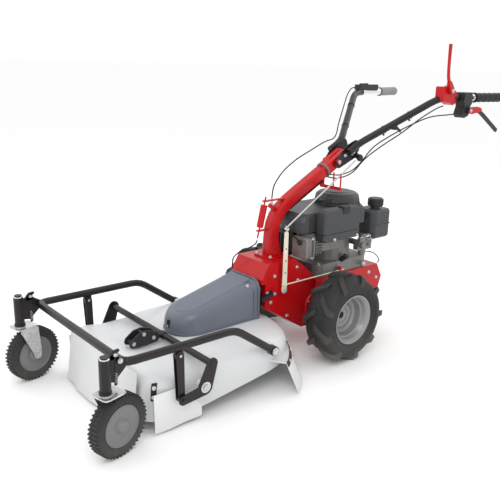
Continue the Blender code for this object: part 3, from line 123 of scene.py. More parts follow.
RECIPES = {
    "red_paint": dict(color=(0.46, 0.002, 0.004), rough=0.34, vary=0.1, cloud=7, grain=260, bump=0.1,
                      coat=0.06, shine=0.3),
    "black_paint": dict(color=(0.012, 0.009, 0.01), rough=0.34, vary=0.25, grain=320, bump=0.1, coat=0.05,
                        shine=0.32),
    "black_plastic": dict(color=(0.018, 0.018, 0.02), rough=0.46, vary=0.14, grain=900, bump=0.35,
                          depth=0.0003, shine=0.35),
    "engine_plastic": dict(color=(0.04, 0.042, 0.045), rough=0.44, vary=0.14, grain=900, bump=0.3,
                           depth=0.0003, shine=0.42),
    "grey_cover": dict(color=(0.115, 0.13, 0.165), rough=0.36, vary=0.06, grain=900, bump=0.3, depth=0.0003),
    "deck_paint": dict(color=(0.62, 0.635, 0.645), rough=0.38, vary=0.025, cloud=4, grain=240, bump=0.06,
                       coat=0.15, dust=0.5),
    "flap_rubber": dict(color=(0.74, 0.755, 0.755), rough=0.6, vary=0.03, cloud=6, grain=700, bump=0.18,
                        dust=0.5),
    "zinc": dict(color=(0.6, 0.6, 0.61), rough=0.28, metal=0.9, vary=0.14, cloud=40, grain=500, bump=0.12),
    "chrome": dict(color=(0.74, 0.74, 0.75), rough=0.12, metal=1.0, vary=0.04, grain=700, bump=0.03),
    "cream_paint": dict(color=(0.72, 0.68, 0.54), rough=0.38, vary=0.08, cloud=20, grain=420, bump=0.1),
    "cast_aluminium": dict(color=(0.2, 0.195, 0.19), rough=0.5, metal=0.55, vary=0.16, cloud=24, grain=620,
                           bump=0.55, depth=0.0008),
    "rim_paint": dict(color=(0.27, 0.275, 0.27), rough=0.36, metal=0.35, vary=0.06, cloud=14, grain=420,
                      bump=0.08),
    "tyre_rubber": dict(color=(0.022, 0.022, 0.022), rough=0.66, vary=0.22, cloud=16, grain=520, bump=0.3,
                        dust=0.22, shine=0.35),
    "lug_rubber": dict(color=(0.034, 0.034, 0.033), rough=0.6, vary=0.25, cloud=30, grain=420, bump=0.35,
                       dust=0.35, shine=0.38),
    "grip_rubber": dict(color=(0.018, 0.018, 0.019), rough=0.62, vary=0.15, grain=900, bump=0.3, shine=0.35),
    "grey_grip": dict(color=(0.235, 0.235, 0.225), rough=0.62, vary=0.12, grain=900, bump=0.3),
    "disc_plastic": dict(color=(0.165, 0.16, 0.165), rough=0.46, vary=0.08, grain=800, bump=0.25),
    "steel": dict(color=(0.3, 0.3, 0.31), rough=0.34, metal=1.0, vary=0.15, cloud=30, grain=500, bump=0.2),
    "maroon_rubber": dict(color=(0.04, 0.01, 0.014), rough=0.55, vary=0.2, grain=700, bump=0.25),
    "cable_black": dict(color=(0.01, 0.01, 0.011), rough=0.42, vary=0.2, grain=900, bump=0.15, shine=0.3),
    # painted shade: near black for the insides of holes, slots and bores, standing in for the shade in them
    "painted_hole_shade": dict(color=(0.006, 0.006, 0.006), rough=0.8, vary=0.2, grain=500, bump=0.1),
}
LOOKS = {name: finish(name, **recipe) for name, recipe in RECIPES.items()}


# ---------------------------------------------------------------- shells, in the drawing frame
def frame_of(direction):
    forward = Vector(direction).normalized()
    helper = Vector((0, 0, 1)) if abs(forward.z) < 0.9 else Vector((0, 1, 0))
    side = helper.cross(forward).normalized()
    return side, forward.cross(side)


def rings_shell(rings):
    """Rings of points joined in order, with both ends closed."""
    count = len(rings[0])
    points = [p for ring in rings for p in ring]
    faces = []
    for row in range(len(rings) - 1):
        low, high = row * count, (row + 1) * count
        for i in range(count):
            j = (i + 1) % count
            faces.append((low + i, low + j, high + j, high + i))
    return points, faces + [tuple(range(count)), tuple(range(len(points) - count, len(points)))]


def lathe(profile, centre, direction, steps=48):
    """A closed profile of (distance along the axis, radius) turned about the axis."""
    side, up = frame_of(direction)
    forward = Vector(direction).normalized()
    points, index, faces = [], [], []
    for along, radius in profile:
        ring = []
        for k in range(1 if radius < 1e-7 else steps):
            a = 2 * pi * k / steps
            ring.append(len(points))
            points.append(Vector(centre) + forward * along + (side * cos(a) + up * sin(a)) * radius)
        index.append(ring)
    for i, ring in enumerate(index):
        other = index[(i + 1) % len(index)]
        for k in range(steps):
            corners = [ring[k % len(ring)], ring[(k + 1) % len(ring)]]
            corners += [other[(k + 1) % len(other)], other[k % len(other)]]
            corners = list(dict.fromkeys(corners))
            if len(corners) > 2:
                faces.append(tuple(corners))
    return points, faces


def rod(start, end, radius, steps=20):
    start, end = Vector(start), Vector(end)
    length = (end - start).length
    soft = min(radius * 0.12, length * 0.2)
    profile = [(0, 0), (0, radius - soft), (soft, radius),
               (length - soft, radius), (length, radius - soft), (length, 0)]
    return lathe(profile, start, end - start, steps)


def fan(count):
    """Level unit directions all the way round, each with the direction across it."""
    for k in range(count):
        a = 2 * pi * k / count
        yield Vector((cos(a), sin(a), 0)), Vector((-sin(a), cos(a), 0))


def bolts_at(spots, direction, *sizes):
    return [shell for spot in spots for shell in bolt(spot, direction, *sizes)]


def side_bolts(x, spots, *sizes):
    """A bolt at each (y, z) on both sides of the machine, facing out."""
    made = []
    for y, z in spots:
        for side in (1, -1):
            made += bolt((side * x, y, z), (side, 0, 0), *sizes)
    return made


def bolt(at, direction, radius=0.007, height=0.005, washer=True):
    """A hexagon head with its washer, standing on a surface."""
    shells = []
    rise = 0.0
    if washer:
        rise = 0.0012
        disc = [(-0.001, 0), (-0.001, radius * 1.35), (rise, radius * 1.3), (rise, 0)]
        shells.append(lathe(disc, at, direction, 20))
    low, high = rise + height * 0.7, rise + height * 1.35
    head = [(rise - 0.0005, 0), (rise - 0.0005, radius), (rise + height * 0.8, radius),
            (rise + height, radius * 0.84), (rise + height, 0)]
    stud = [(low, 0), (low, radius * 0.45), (high, radius * 0.4), (high, 0)]
    return shells + [lathe(head, at, direction, 6), lathe(stud, at, direction, 12)]


BOX_FACES = [(0, 1, 2, 3), (4, 5, 6, 7), (0, 1, 5, 4), (1, 2, 6, 5), (2, 3, 7, 6), (3, 0, 4, 7)]


def spread(u, v, w, axis):
    return {"X": (w, u, v), "Y": (u, w, v), "Z": (u, v, w)}[axis]


def prism(outline, low, high, axis="X"):
    return rings_shell([[Vector(spread(u, v, w, axis)) for u, v in outline] for w in (low, high)])


def block(low, high):
    corners = [(low[1], low[2]), (high[1], low[2]), (high[1], high[2]), (low[1], high[2])]
    return prism(corners, low[0], high[0])


def rounded(outline, radius, steps=5):
    made = []
    for i, corner in enumerate(outline):
        here = Vector(corner)
        before = Vector(outline[i - 1]) - here
        after = Vector(outline[(i + 1) % len(outline)]) - here
        bend = pi - before.angle(after)
        reach = min(radius * abs(sin(bend / 2) / cos(bend / 2)), before.length * 0.45, after.length * 0.45)
        start, end = here + before.normalized() * reach, here + after.normalized() * reach
        for step in range(steps + 1):
            t = step / steps
            made.append(tuple(start.lerp(here, t).lerp(here.lerp(end, t), t)))
    return made


def curve_point(a, b, c, d, t):
    """The point at t, from 0 to 1, between b and c on the smooth curve through a, b, c and d."""
    square, cube = 2 * a - 5 * b + 4 * c - d, 3 * b - a - 3 * c + d
    return 0.5 * (2 * b + (c - a) * t + square * t * t + cube * t ** 3)


def smooth_path(points, steps=6):
    points = [Vector(p) for p in points]
    padded = [points[0] * 2 - points[1], *points, points[-1] * 2 - points[-2]]
    made = []
    for i in range(1, len(padded) - 2):
        made += [curve_point(*padded[i - 1:i + 3], k / steps) for k in range(steps)]
    made.append(points[-1])
    return made


def sweep(path, section, steps=12):
    """A section drawn along a path: a radius, or a list of (side, up) points."""
    path = [Vector(p) for p in path]
    if isinstance(section, float):
        turns = [2 * pi * k / steps for k in range(steps)]
        section = [(section * cos(a), section * sin(a)) for a in turns]
    rings = []
    side = None
    for i, point in enumerate(path):
        ahead = path[min(i + 1, len(path) - 1)] - path[max(i - 1, 0)]
        ahead.normalize()
        if side is None:
            side = frame_of(ahead)[0]
        side = (side - ahead * side.dot(ahead)).normalized()
        up = ahead.cross(side)
        rings.append([point + side * u + up * v for u, v in section])
    return rings_shell(rings)


def moved(shell, matrix):
    return [matrix @ Vector(p) for p in shell[0]], shell[1]


# ---------------------------------------------------------------- pieces
def piece(name, shells, look, body, stands=(), angle=35, bevel=0.0, shift=SHIFT):
    """One visible object from its shells, riding on a body and standing for the CAD nodes it replaces."""
    points, faces = [], []
    for shell_points, shell_faces in shells:
        base = len(points)
        points += [Vector(p) + shift for p in shell_points]
        faces += [tuple(i + base for i in face) for face in shell_faces]
    mesh = bpy.data.meshes.new(name)
    mesh.from_pydata(points, [], faces)
    work = bmesh.new()
    work.from_mesh(mesh)
    bmesh.ops.recalc_face_normals(work, faces=work.faces)
    work.to_mesh(mesh)
    work.free()
    mesh.materials.append(LOOKS[look])
    mesh.shade_smooth()
    mesh.set_sharp_from_angle(angle=radians(angle))
    made = bpy.data.objects.new(name, mesh)
    bpy.context.scene.collection.objects.link(made)
    if bevel:
        soften(made, bevel)
    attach(made, body)
    if stands:
        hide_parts(*stands)
    return made


def soften(thing, width):
    modifier = thing.modifiers.new("edges", "BEVEL")
    modifier.width = width
    modifier.segments = 2
    modifier.limit_method = "ANGLE"
    modifier.angle_limit = radians(38)
    modifier.harden_normals = True


SLOT_OF = {row["node"]: row["material_slot"] for row in frame["record"]["subparts"]}
SPECIAL = {"engine_shroud": "engine_plastic", "recoil_cover": "engine_plastic",
           "air_filter_box": "engine_plastic",
           "fuel_tank": "engine_plastic"}


def dress_cad():
    """Every carried-over CAD node gets its procedural finish, smooth shading and, except the cables, slightly
    rounded edges.
    """
    for name, thing in NODES.items():
        for place in thing.material_slots:
            place.material = LOOKS[SPECIAL.get(name, SLOT_OF[name])]
        thing.data.shade_smooth()
        thing.data.set_sharp_from_angle(angle=radians(40))
        if not name.endswith("cable"):
            soften(thing, 0.0007)


# ---------------------------------------------------------------- drive wheels
TRACK_X = 0.2325
TYRE_R = 0.165
CARCASS = [(0.0, 0.1535), (0.02, 0.153), (0.036, 0.1516), (0.047, 0.1486), (0.0545, 0.143), (0.059, 0.135),
           (0.0608, 0.126), (0.06, 0.117), (0.0565, 0.107), (0.052, 0.1), (0.048, 0.0945), (0.0465, 0.0895)]
LUG_COUNT = 9


def carcass_radius(along):
    for (a, r), (b, s) in zip(CARCASS, CARCASS[1:]):
        if along <= b:
            return r + (s - r) * (along - a) / (b - a)
    return CARCASS[-1][1]


def tread_bar(side, half, turn):
    """One chevron bar: a tapered rib that follows the crown and folds over the shoulder."""
    lean, width, top = radians(17), radians(10.5), radians(7.5)
    rings = []
    for along, high in ((0.001, TYRE_R - 0.0022), (0.003, TYRE_R - 0.0004), (0.015, TYRE_R), (0.03, TYRE_R),
                        (0.044, TYRE_R - 0.0004), (0.053, TYRE_R - 0.0024), (0.058, TYRE_R - 0.0075),
                        (0.06, TYRE_R - 0.019)):
        share = min(along, 0.0585) / 0.0585
        middle = lean * share - lean * 0.5
        floor = carcass_radius(min(along, 0.0585)) - 0.006
        floor = min(floor, high - 0.004)
        ring = []
        for angle, radius in ((-width / 2, floor), (-top / 2, high), (top / 2, high), (width / 2, floor)):
            spot = middle + angle
            ring.append(Vector((side * TRACK_X + half * along, radius * sin(spot), -radius * cos(spot))))
        rings.append(ring)
    turned = Matrix.Translation(AXLE) @ Matrix.Rotation(turn, 4, "X")
    return moved(rings_shell(rings), turned)


RIM = [
    (0.047, 0.0905), (0.0482, 0.0928), (0.05, 0.094), (0.0516, 0.0932), (0.0516, 0.0905), (0.049, 0.0872),
    (0.0455, 0.085), (0.0425, 0.0815), (0.041, 0.0795), (0.023, 0.0785), (0.0205, 0.076), (0.0195, 0.072),
    (0.012, 0.07), (-0.002, 0.0685), (-0.0065, 0.066), (-0.009, 0.061), (-0.0098, 0.052), (-0.009, 0.0485),
    (-0.0062, 0.0455), (-0.006, 0.042), (-0.0085, 0.0385), (-0.009, 0.03), (-0.0075, 0.027),
        (-0.0072, 0.0225),
    (-0.0095, 0.0195), (-0.01, 0.0131), (-0.117, 0.0131), (-0.117, 0.0215), (-0.023, 0.0222), (-0.02, 0.06),
    (-0.042, 0.084), (-0.05, 0.093), (-0.0475, 0.093), (-0.047, 0.0868), (-0.04, 0.0824), (0.04, 0.0824),
    (0.047, 0.0868),
]


def make_drive_wheels():
    for name, side in SIDES:
        centre = AXLE + Vector((side * TRACK_X, 0, 0))
        profile = [(x, r) for x, r in reversed(CARCASS)] + [(-x, r) for x, r in CARCASS[1:]]
        profile += [(-0.0462, 0.088), (-0.0395, 0.0835), (0.0395, 0.0835), (0.0462, 0.088)]
        shells = [lathe(profile, centre, (side, 0, 0), 96)]
        for face in (1, -1):
            at = 0.0598 * face
            bead = [(at - 0.002 * face, 0.1155), (at + 0.001 * face, 0.1165), (at + 0.001 * face, 0.1185),
                    (at - 0.002 * face, 0.1195)]
            shells.append(lathe(bead, centre, (side, 0, 0), 96))
        piece(name + "_tyre_carcass", shells, "tyre_rubber", "drive_wheels", stands=[name + "_tyre"])
        bars = []
        for k in range(LUG_COUNT):
            turn = 2 * pi * k / LUG_COUNT
            bars.append(tread_bar(side, side, turn))
            bars.append(tread_bar(side, -side, turn + pi / LUG_COUNT))
        piece(name + "_tyre_bars", bars, "lug_rubber", "drive_wheels", stands=[name + "_tyre"],
              bevel=0.0014)
        piece(name + "_rim_dish", [lathe(RIM, centre, (side, 0, 0), 96)], "rim_paint", "drive_wheels",
              stands=[name + "_rim"], angle=50)
        # a near-black plug set inside the hub's bore: painted shade for the shadowed bore
        hub = [lathe([(-0.016, 0), (-0.016, 0.0128), (-0.0102, 0.0128), (-0.0102, 0.0118), (-0.0112, 0.0114),
                      (-0.0112, 0)], centre, (side, 0, 0), 24)]
        piece(name + "_hub_bore_shade", hub, "painted_hole_shade", "drive_wheels")


# ---------------------------------------------------------------- casters
CASTER_R = 0.0935
CASTER_W = 0.04


def make_casters():
    half = CASTER_W / 2
    for name, side in SIDES:
        joint = JOINTS[name + "_caster_spin"]
        hub, axis = Vector(joint["pos_m"]), Vector(joint["axis"]).normalized()
        body = name + "_caster"
        edge = [(half + x, r) for x, r in (
            (-0.0005, 0.0622), (0.0, 0.064), (-0.001, 0.0668), (0.0, 0.069),
            (0.0003, 0.08), (-0.0012, 0.0858), (-0.0055, 0.0893), (-0.012, 0.0905))]
        ring = edge + [(-x, r) for x, r in reversed(edge)]
        shells = [lathe(ring, hub, axis, 80)]
        level, up = frame_of(axis)
        count = 44
        for k in range(count):
            a = 2 * pi * (k + 0.5) / count
            out = level * cos(a) + up * sin(a)
            across = axis.cross(out)
            for low, high, swing in ((0.0015, half - 0.003, 0.0014), (-half + 0.003, -0.0015, -0.0014)):
                corners = []
                for radius, wide in ((0.0895, 0.0042), (CASTER_R, 0.0033)):
                    for along, sway in ((low, 0.0), (high, swing)):
                        for sign in (-1, 1):
                            corners.append(hub + out * radius + axis * along
                                           + across * (sign * wide * 0.72 + sway))
                a0, a1, a2, a3, b0, b1, b2, b3 = corners
                shells.append(([a0, a1, a3, a2, b0, b1, b3, b2], BOX_FACES))
            for sign in (1, -1):
                rib = []
                for radius, lift, wide in ((0.077, 0.0002, -0.0022), (0.077, 0.0002, 0.0022),
                                           (0.0865, -0.0006, 0.0022), (0.0865, -0.0006, -0.0022)):
                    rib.append(hub + out * radius + across * wide + axis * sign * (half + lift - 0.001))
                outer = [p + axis * sign * 0.0018 for p in rib]
                shells.append(([*rib, *outer], BOX_FACES))
        piece(name + "_caster_tread", shells, "tyre_rubber", body, stands=[name + "_caster_tyre"],
              bevel=0.0004, shift=Vector())
        disc = [(-0.0028, 0.0618), (-0.001, 0.061), (-0.0008, 0.0585), (-0.0026, 0.057), (-0.0024, 0.036),
                (-0.0016, 0.0345), (-0.0016, 0.033), (-0.0024, 0.0315), (-0.0018, 0.0215), (0.002, 0.019)]
        inner = disc + [(0.0038, 0.016), (0.0038, 0.0066)]
        outer = disc + [(0.007, 0.0165), (0.0088, 0.013), (0.0092, 0.0), (0.008, 0.0), (0.008, 0.0115),
                        (0.0038, 0.0115), (0.0038, 0.0066)]
        profile = [((half + x) * side, r) for x, r in outer]
        profile += [(-(half + x) * side, r) for x, r in reversed(inner)]
        piece(name + "_caster_disc", [lathe(profile, hub, axis, 64)], "disc_plastic", body,
              stands=[name + "_caster_wheel"], angle=45, shift=Vector())


def make_swivels():
    """Post caps and collars, latch springs with their bolts, and the hook lugs beside the caster posts."""
    for name, side in SIDES:
        joint = Vector(JOINTS[name + "_swivel"]["pos_m"])
        post = joint.xy
        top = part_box("front_frame")[1].z
        cap = [lathe([(0, 0), (0, 0.0146), (0.003, 0.0138), (0.0052, 0.01), (0.006, 0.0)],
                     (*post, top - 0.0078), (0, 0, 1), 28)]
        piece(name + "_post_cap", cap, "chrome", "caster_frame", shift=Vector())
        band = [(0, 0.0162), (0, 0.0178), (0.006, 0.0178), (0.006, 0.0162)]
        collar = [lathe(band, (*post, 0.2055), (0, 0, 1), 32)]
        piece(name + "_post_collar", collar, "black_paint", "caster_frame", shift=Vector())
        y, z = -0.964 - 0.026, 0.23
        x = side * (0.2915 - 0.01)
        coils = []
        for k in range(61):
            a = 2 * pi * k / 10
            coils.append(Vector((x + 0.0062 * cos(a), y + 0.0062 * sin(a), z + 0.004 + 0.034 * k / 60)))
        piece(name + "_latch_spring", [sweep(coils, 0.0009, 8)], "zinc", "caster_frame")
        head = bolt((x, y, 0.318), (0, 0, 1), 0.0065, 0.004)
        boss = (side * (0.2915 + 0.002), -1.027 + 0.046, 0.303)
        head += bolt(boss, (side, 0, 0), 0.006, 0.004)
        piece(name + "_latch_bolts", head, "zinc", "caster_frame")
        hook_y, hook_z = -1.000, 0.318
        hook = [(-0.008, -0.012), (0.016, -0.012), (0.016, 0.004), (0.024, 0.01), (0.022, 0.016),
                (0.004, 0.014), (-0.006, 0.004)]
        outline = [(hook_y + y, hook_z + z) for y, z in hook]
        lug = [prism(rounded(outline, 0.003, 3), *sorted((side * 0.2775, side * 0.2835)))]
        piece(name + "_hook_lug", lug, "black_paint", "caster_frame", bevel=0.0008)


# ---------------------------------------------------------------- deck
DECK_X = 0.272
DECK_FRONT = -0.88
DECK_MIDDLE = -0.556
BLADE_Y = -0.55
REAR_ARC = -0.59


def deck_outline():
    half = [
        (0.11, DECK_FRONT), (0.212, DECK_FRONT), (0.247, -0.868), (0.262, -0.838), (0.269, -0.76),
        (DECK_X, -0.66), (DECK_X, -0.48), (0.27, -0.41), (0.26, -0.352), (0.235, -0.305),
        (0.192, -0.27), (0.137, -0.246), (0.07, -0.232),
    ]
    loop = [(0.0, DECK_FRONT)] + half + [(0.0, -0.23)] + [(-x, y) for x, y in half[::-1]]
    made = []
    count = len(loop)
    for i in range(count):
        near = [Vector(loop[(i + k) % count]) for k in (-1, 0, 1, 2)]
        made += [curve_point(*near, k / 4) for k in range(4)]
    return made


def deck_foot(y):
    return 0.056 + max(0.0, y + 0.7) * 0.125


def soft_ramp(value, start, end):
    t = max(0.0, min(1.0, (value - start) / (end - start)))
    return t * t * (3 - 2 * t)


def deck_crown(y):
    return 0.1955 - 0.01 * soft_ramp(-y, 0.59, 0.67) + 0.026 * soft_ramp(-y, 0.73, 0.9) * 1.05


def deck_surface(inset, height, shift):
    reach = 1 - (inset + shift) / DECK_X
    ring = []
    for p in deck_outline():
        x, y = p.x * reach, DECK_MIDDLE + (p.y - DECK_MIDDLE) * reach
        low = deck_foot(y)
        ring.append(Vector((x, y, low + (deck_crown(y) - shift - low) * height)))
    return ring


PIVOT = (-0.412, 0.171)  # y and z of the frame's pivot pins on the deck
LINK = (-0.7, 0.137)  # y and z of the lift links' pins
DECK_ROWS = [(0.0, 0.0), (0.0003, 0.12), (0.0006, 0.28), (0.001, 0.44), (0.002, 0.58), (0.0045, 0.7),
             (0.009, 0.795), (0.016, 0.865), (0.026, 0.918), (0.04, 0.955), (0.06, 0.98), (0.085, 0.995),
             (0.115, 1.0), (0.15, 1.0), (0.185, 1.0), (0.22, 1.0), (0.25, 1.0), (0.265, 1.0)]


def make_deck():
    outer = [deck_surface(inset, height, 0.0) for inset, height in DECK_ROWS]
    inner = [deck_surface(inset, height, 0.0032) for inset, height in DECK_ROWS]
    count = len(outer[0])
    skins = []
    for rings in (outer, inner):
        points = [p for ring in rings for p in ring]
        faces = []
        for row in range(len(rings) - 1):
            for i in range(count):
                j = (i + 1) % count
                corners = (row * count + i, row * count + j, (row + 1) * count + j, (row + 1) * count + i)
                spots = [points[c] for c in corners]
                front = all(abs(p.x) < 0.2055 and p.y < DECK_FRONT + 0.03 and p.z < 0.163 for p in spots)
                faces.append(None if front else corners)
        faces.append(tuple(range(len(points) - count, len(points))))
        skins.append((points, faces))
    (points, faces), (inner_points, inner_faces) = skins
    base = len(points)
    kept = [f for f in faces if f]
    made = kept + [tuple(i + base for i in reversed(f)) for f in inner_faces if f]
    use = {}
    for face in kept:
        for a, b in zip(face, face[1:] + face[:1]):
            use.setdefault(frozenset((a, b)), []).append((a, b))
    for edges in use.values():
        if len(edges) == 1:
            a, b = edges[0]
            made.append((b, a, a + base, b + base))
    used = sorted({i for face in made for i in face})
    renumber = {old: new for new, old in enumerate(used)}
    everything = points + inner_points
    shell = ([everything[i] for i in used], [tuple(renumber[i] for i in face) for face in made])
    piece("deck_shell", [shell], "deck_paint", "chassis", stands=["mower_deck"], angle=50)
    iron = []
    for side in (1, -1):
        y, z = PIVOT
        foot = [(y - 0.026, 0.128), (y + 0.026, 0.128), (y + 0.016, z + 0.017), (y - 0.016, z + 0.017)]
        iron.append(prism(rounded(foot, 0.008, 4), *sorted((side * 0.248, side * 0.2685))))
        y, z = LINK
        iron.append(rod((side * 0.262, y, z), (side * 0.2957, y, z), 0.013, 28))
    iron.append(prism([(-0.372, 0.19), (-0.372, 0.202), (-0.318, 0.218), (-0.3025, 0.218), (-0.3025, 0.19)],
                      -0.06, 0.06))
    iron.append(lathe([(0.15, 0.014), (0.15, 0.034), (0.178, 0.046), (0.194, 0.046), (0.194, 0.014)],
                      (0, BLADE_Y, 0), (0, 0, 1), 40))
    piece("deck_fittings", iron, "deck_paint", "chassis", stands=["mower_deck"], bevel=0.0012)
    pins = []
    for side in (1, -1):
        y, z = PIVOT
        pins.append(rod((side * 0.262, y, z), (side * 0.299, y, z), 0.0062, 20))
        pins += bolt((side * 0.297, y, z), (side, 0, 0), 0.0105, 0.0045)
        y, z = LINK
        pins.append(rod((side * 0.28, y, z), (side * 0.3045, y, z), 0.008, 24))
        pins.append(lathe([(0, 0.0), (0, 0.018), (0.0016, 0.0176), (0.0016, 0)], (side * 0.3013, y, z),
                          (side, 0, 0), 32))
        pins += bolt((side * 0.303, y, z), (side, 0, 0), 0.011, 0.0052, False)
    piece("deck_pins", pins, "zinc", "chassis", stands=["mower_deck"], bevel=0.0004)


def deck_point(inset, height, index_angle):
    """A point on the deck's skin and its outward normal, by plan angle seen from the deck's middle."""
    ring = deck_surface(inset, height, 0.0)
    best = min(range(len(ring)), key=lambda i: abs(
        (Vector((ring[i].x, ring[i].y - DECK_MIDDLE)).angle_signed(Vector((sin(index_angle),
            cos(index_angle)))))))
    here = ring[best]
    along = ring[(best + 1) % len(ring)] - ring[best - 1]
    above = deck_surface(inset + 0.001, min(1.0, height + 0.02), 0.0)[best] - here
    normal = along.cross(above).normalized()
    if normal.dot(here - Vector((0, DECK_MIDDLE, 0.05))) < 0:
        normal.negate()
    return here, normal


def make_deck_trim():
    """The rear rubber strip with its clamping bolts, and a clamp strip at each front corner."""
    strip, flange, bolts = [], [], []
    for k in range(57):
        a = radians(-56 + 2 * k)
        out, base = Vector((sin(a), cos(a), 0)), Vector((0, REAR_ARC, 0))
        strip.append([base + out * r + Vector((0, 0, z)) for r, z in (
            (0.3792, 0.1292), (0.3862, 0.114), (0.389, 0.1153), (0.3822, 0.1304))])
        flange.append([base + out * r + Vector((0, 0, z)) for r, z in (
            (0.3, 0.1235), (0.3764, 0.1235), (0.3764, 0.128), (0.3, 0.133))])
    piece("rear_clamp_strip", [rings_shell(strip)], "maroon_rubber", "chassis", angle=50)
    piece("rear_flange", [rings_shell(flange)], "deck_paint", "chassis", angle=50)
    for turn in (-51, -38, -26, -13, 0, 13, 26, 38, 51):
        out = Vector((sin(radians(turn)), cos(radians(turn)), 0))
        bolts += bolt(Vector((0, REAR_ARC, 0.1222)) + out * 0.3852, out * 0.908 + Vector((0, 0, 0.42)),
                      0.0052, 0.0035)
    piece("rear_strip_bolts", bolts, "zinc", "chassis", bevel=0.0003)
    for name, side in SIDES:
        turn = side * radians(139.5)
        rows = []
        heads = []
        for inset, height in ((0.009, 0.795), (0.0045, 0.7), (0.002, 0.58), (0.001, 0.44)):
            spot, normal = deck_point(inset, height, turn)
            across = normal.cross(Vector((0, 0, 1))).normalized() * 0.0085
            rows.append([spot - across - normal * 0.003, spot + across - normal * 0.003,
                         spot + across + normal * 0.0026, spot - across + normal * 0.0026])
            if height in (0.7, 0.44):
                lift = 0.012 if height == 0.44 else 0.0
                heads += bolt(spot + normal * 0.0024 + Vector((0, 0, lift)), normal, 0.0048, 0.003)
        piece(name + "_clamp_strip", [rings_shell(rows)], "black_paint", "chassis", bevel=0.0006)
        piece(name + "_clamp_bolts", heads, "zinc", "chassis", bevel=0.0003)


# ---------------------------------------------------------------- flaps
def cloth(name, rows, thickness, node_name, normal_of):
    """A thin rubber sheet: a grid of points given thickness on its outer side."""
    count = len(rows[0])
    front = [Vector(p) for row in rows for p in row]
    back = [p + normal_of(p) * thickness for p in front]
    shift = len(front)
    faces = []
    for r in range(len(rows) - 1):
        for k in range(count - 1):
            a = r * count + k
            faces.append((a, a + 1, a + count + 1, a + count))
            faces.append((shift + a, shift + a + count, shift + a + count + 1, shift + a + 1))
    border = [k for k in range(count)] + [r * count + count - 1 for r in range(1, len(rows))]
    border += [(len(rows) - 1) * count + k for k in range(count - 2, -1, -1)]
    border += [r * count for r in range(len(rows) - 2, 0, -1)]
    for a, b in zip(border, border[1:] + border[:1]):
        faces.append((a, b, shift + b, shift + a))
    made = piece(name, [(front + back, faces)], "flap_rubber", "chassis", stands=[node_name], angle=60)
    return made


def make_flaps():
    rows = []
    for r in range(19):
        t = r / 18
        z = 0.2 - 0.176 * t
        y = -0.883 - 0.005 * t - 0.016 * t ** 1.2
        row = []
        for k in range(41):
            x = -0.212 + 0.424 * k / 40
            bulge = (0.2 - z) * 0.08 * (1 - (x / 0.212) ** 2)
            wave = 0.0022 * t * sin(x * 31 + 0.6) + 0.0012 * t * sin(x * 67)
            row.append((x, y - bulge + wave, z))
        rows.append(row)
    cloth("front_flap", rows, 0.0022, "front_curtain", lambda p: Vector((0, -1, 0)))
    for name, side in SIDES:
        rows = []
        for r in range(13):
            t = r / 12
            row = []
            for k in range(15):
                s = k / 14
                y_top = -0.866 + s * 0.172
                z_top = 0.15 if y_top < -0.775 else 0.15 - (y_top + 0.775) / 0.081 * 0.088
                z_low = 0.022 + 0.007 * s
                y_low = -0.861 + s * 0.167
                y = y_top + (y_low - y_top) * t
                z = z_top + (z_low - z_top) * t
                x = side * (0.2712 + 0.0012 * t * sin(y * 60))
                row.append((x, y, z))
            rows.append(row)
        cloth(name + "_flap", rows, 0.002, name + "_side_flap", lambda p,
              k=side: Vector((k, 0, 0)))
    centre = Vector((0, REAR_ARC))
    rows = []
    for r in range(13):
        t = r / 12
        radius = 0.377 + 0.047 * t
        row = []
        for k in range(65):
            a = radians(-56 + 112 * k / 64)
            wave = 0.0016 * t * sin(a * 19)
            z = 0.128 - 0.102 * t
            spot = centre + Vector((sin(a), cos(a))) * (radius + wave)
            row.append((spot.x, spot.y, z))
        rows.append(row)
    cloth("rear_flap", rows, 0.0022, "rear_skirt",
          lambda p: Vector((p.x, p.y - centre.y, 0.0)).normalized())


# ---------------------------------------------------------------- transmission cover
COVER_REAR = -0.303
COVER_NOSE = -0.55
COVER_WIDE = 0.086


def cover_outline(inset):
    points = [(COVER_WIDE + 0.002 - inset, COVER_REAR), (COVER_WIDE + 0.0012 - inset, -0.36),
              (COVER_WIDE + 0.0005 - inset, -0.46)]
    for k in range(33):
        a = pi * k / 32
        points.append(((COVER_WIDE - inset) * cos(a), COVER_NOSE - (COVER_WIDE - inset) * sin(a)))
    return points + [(-x, y) for x, y in points[2::-1]]


def cover_top(y):
    return 0.3385 + min(0.0, (y + 0.303) * 0.245)


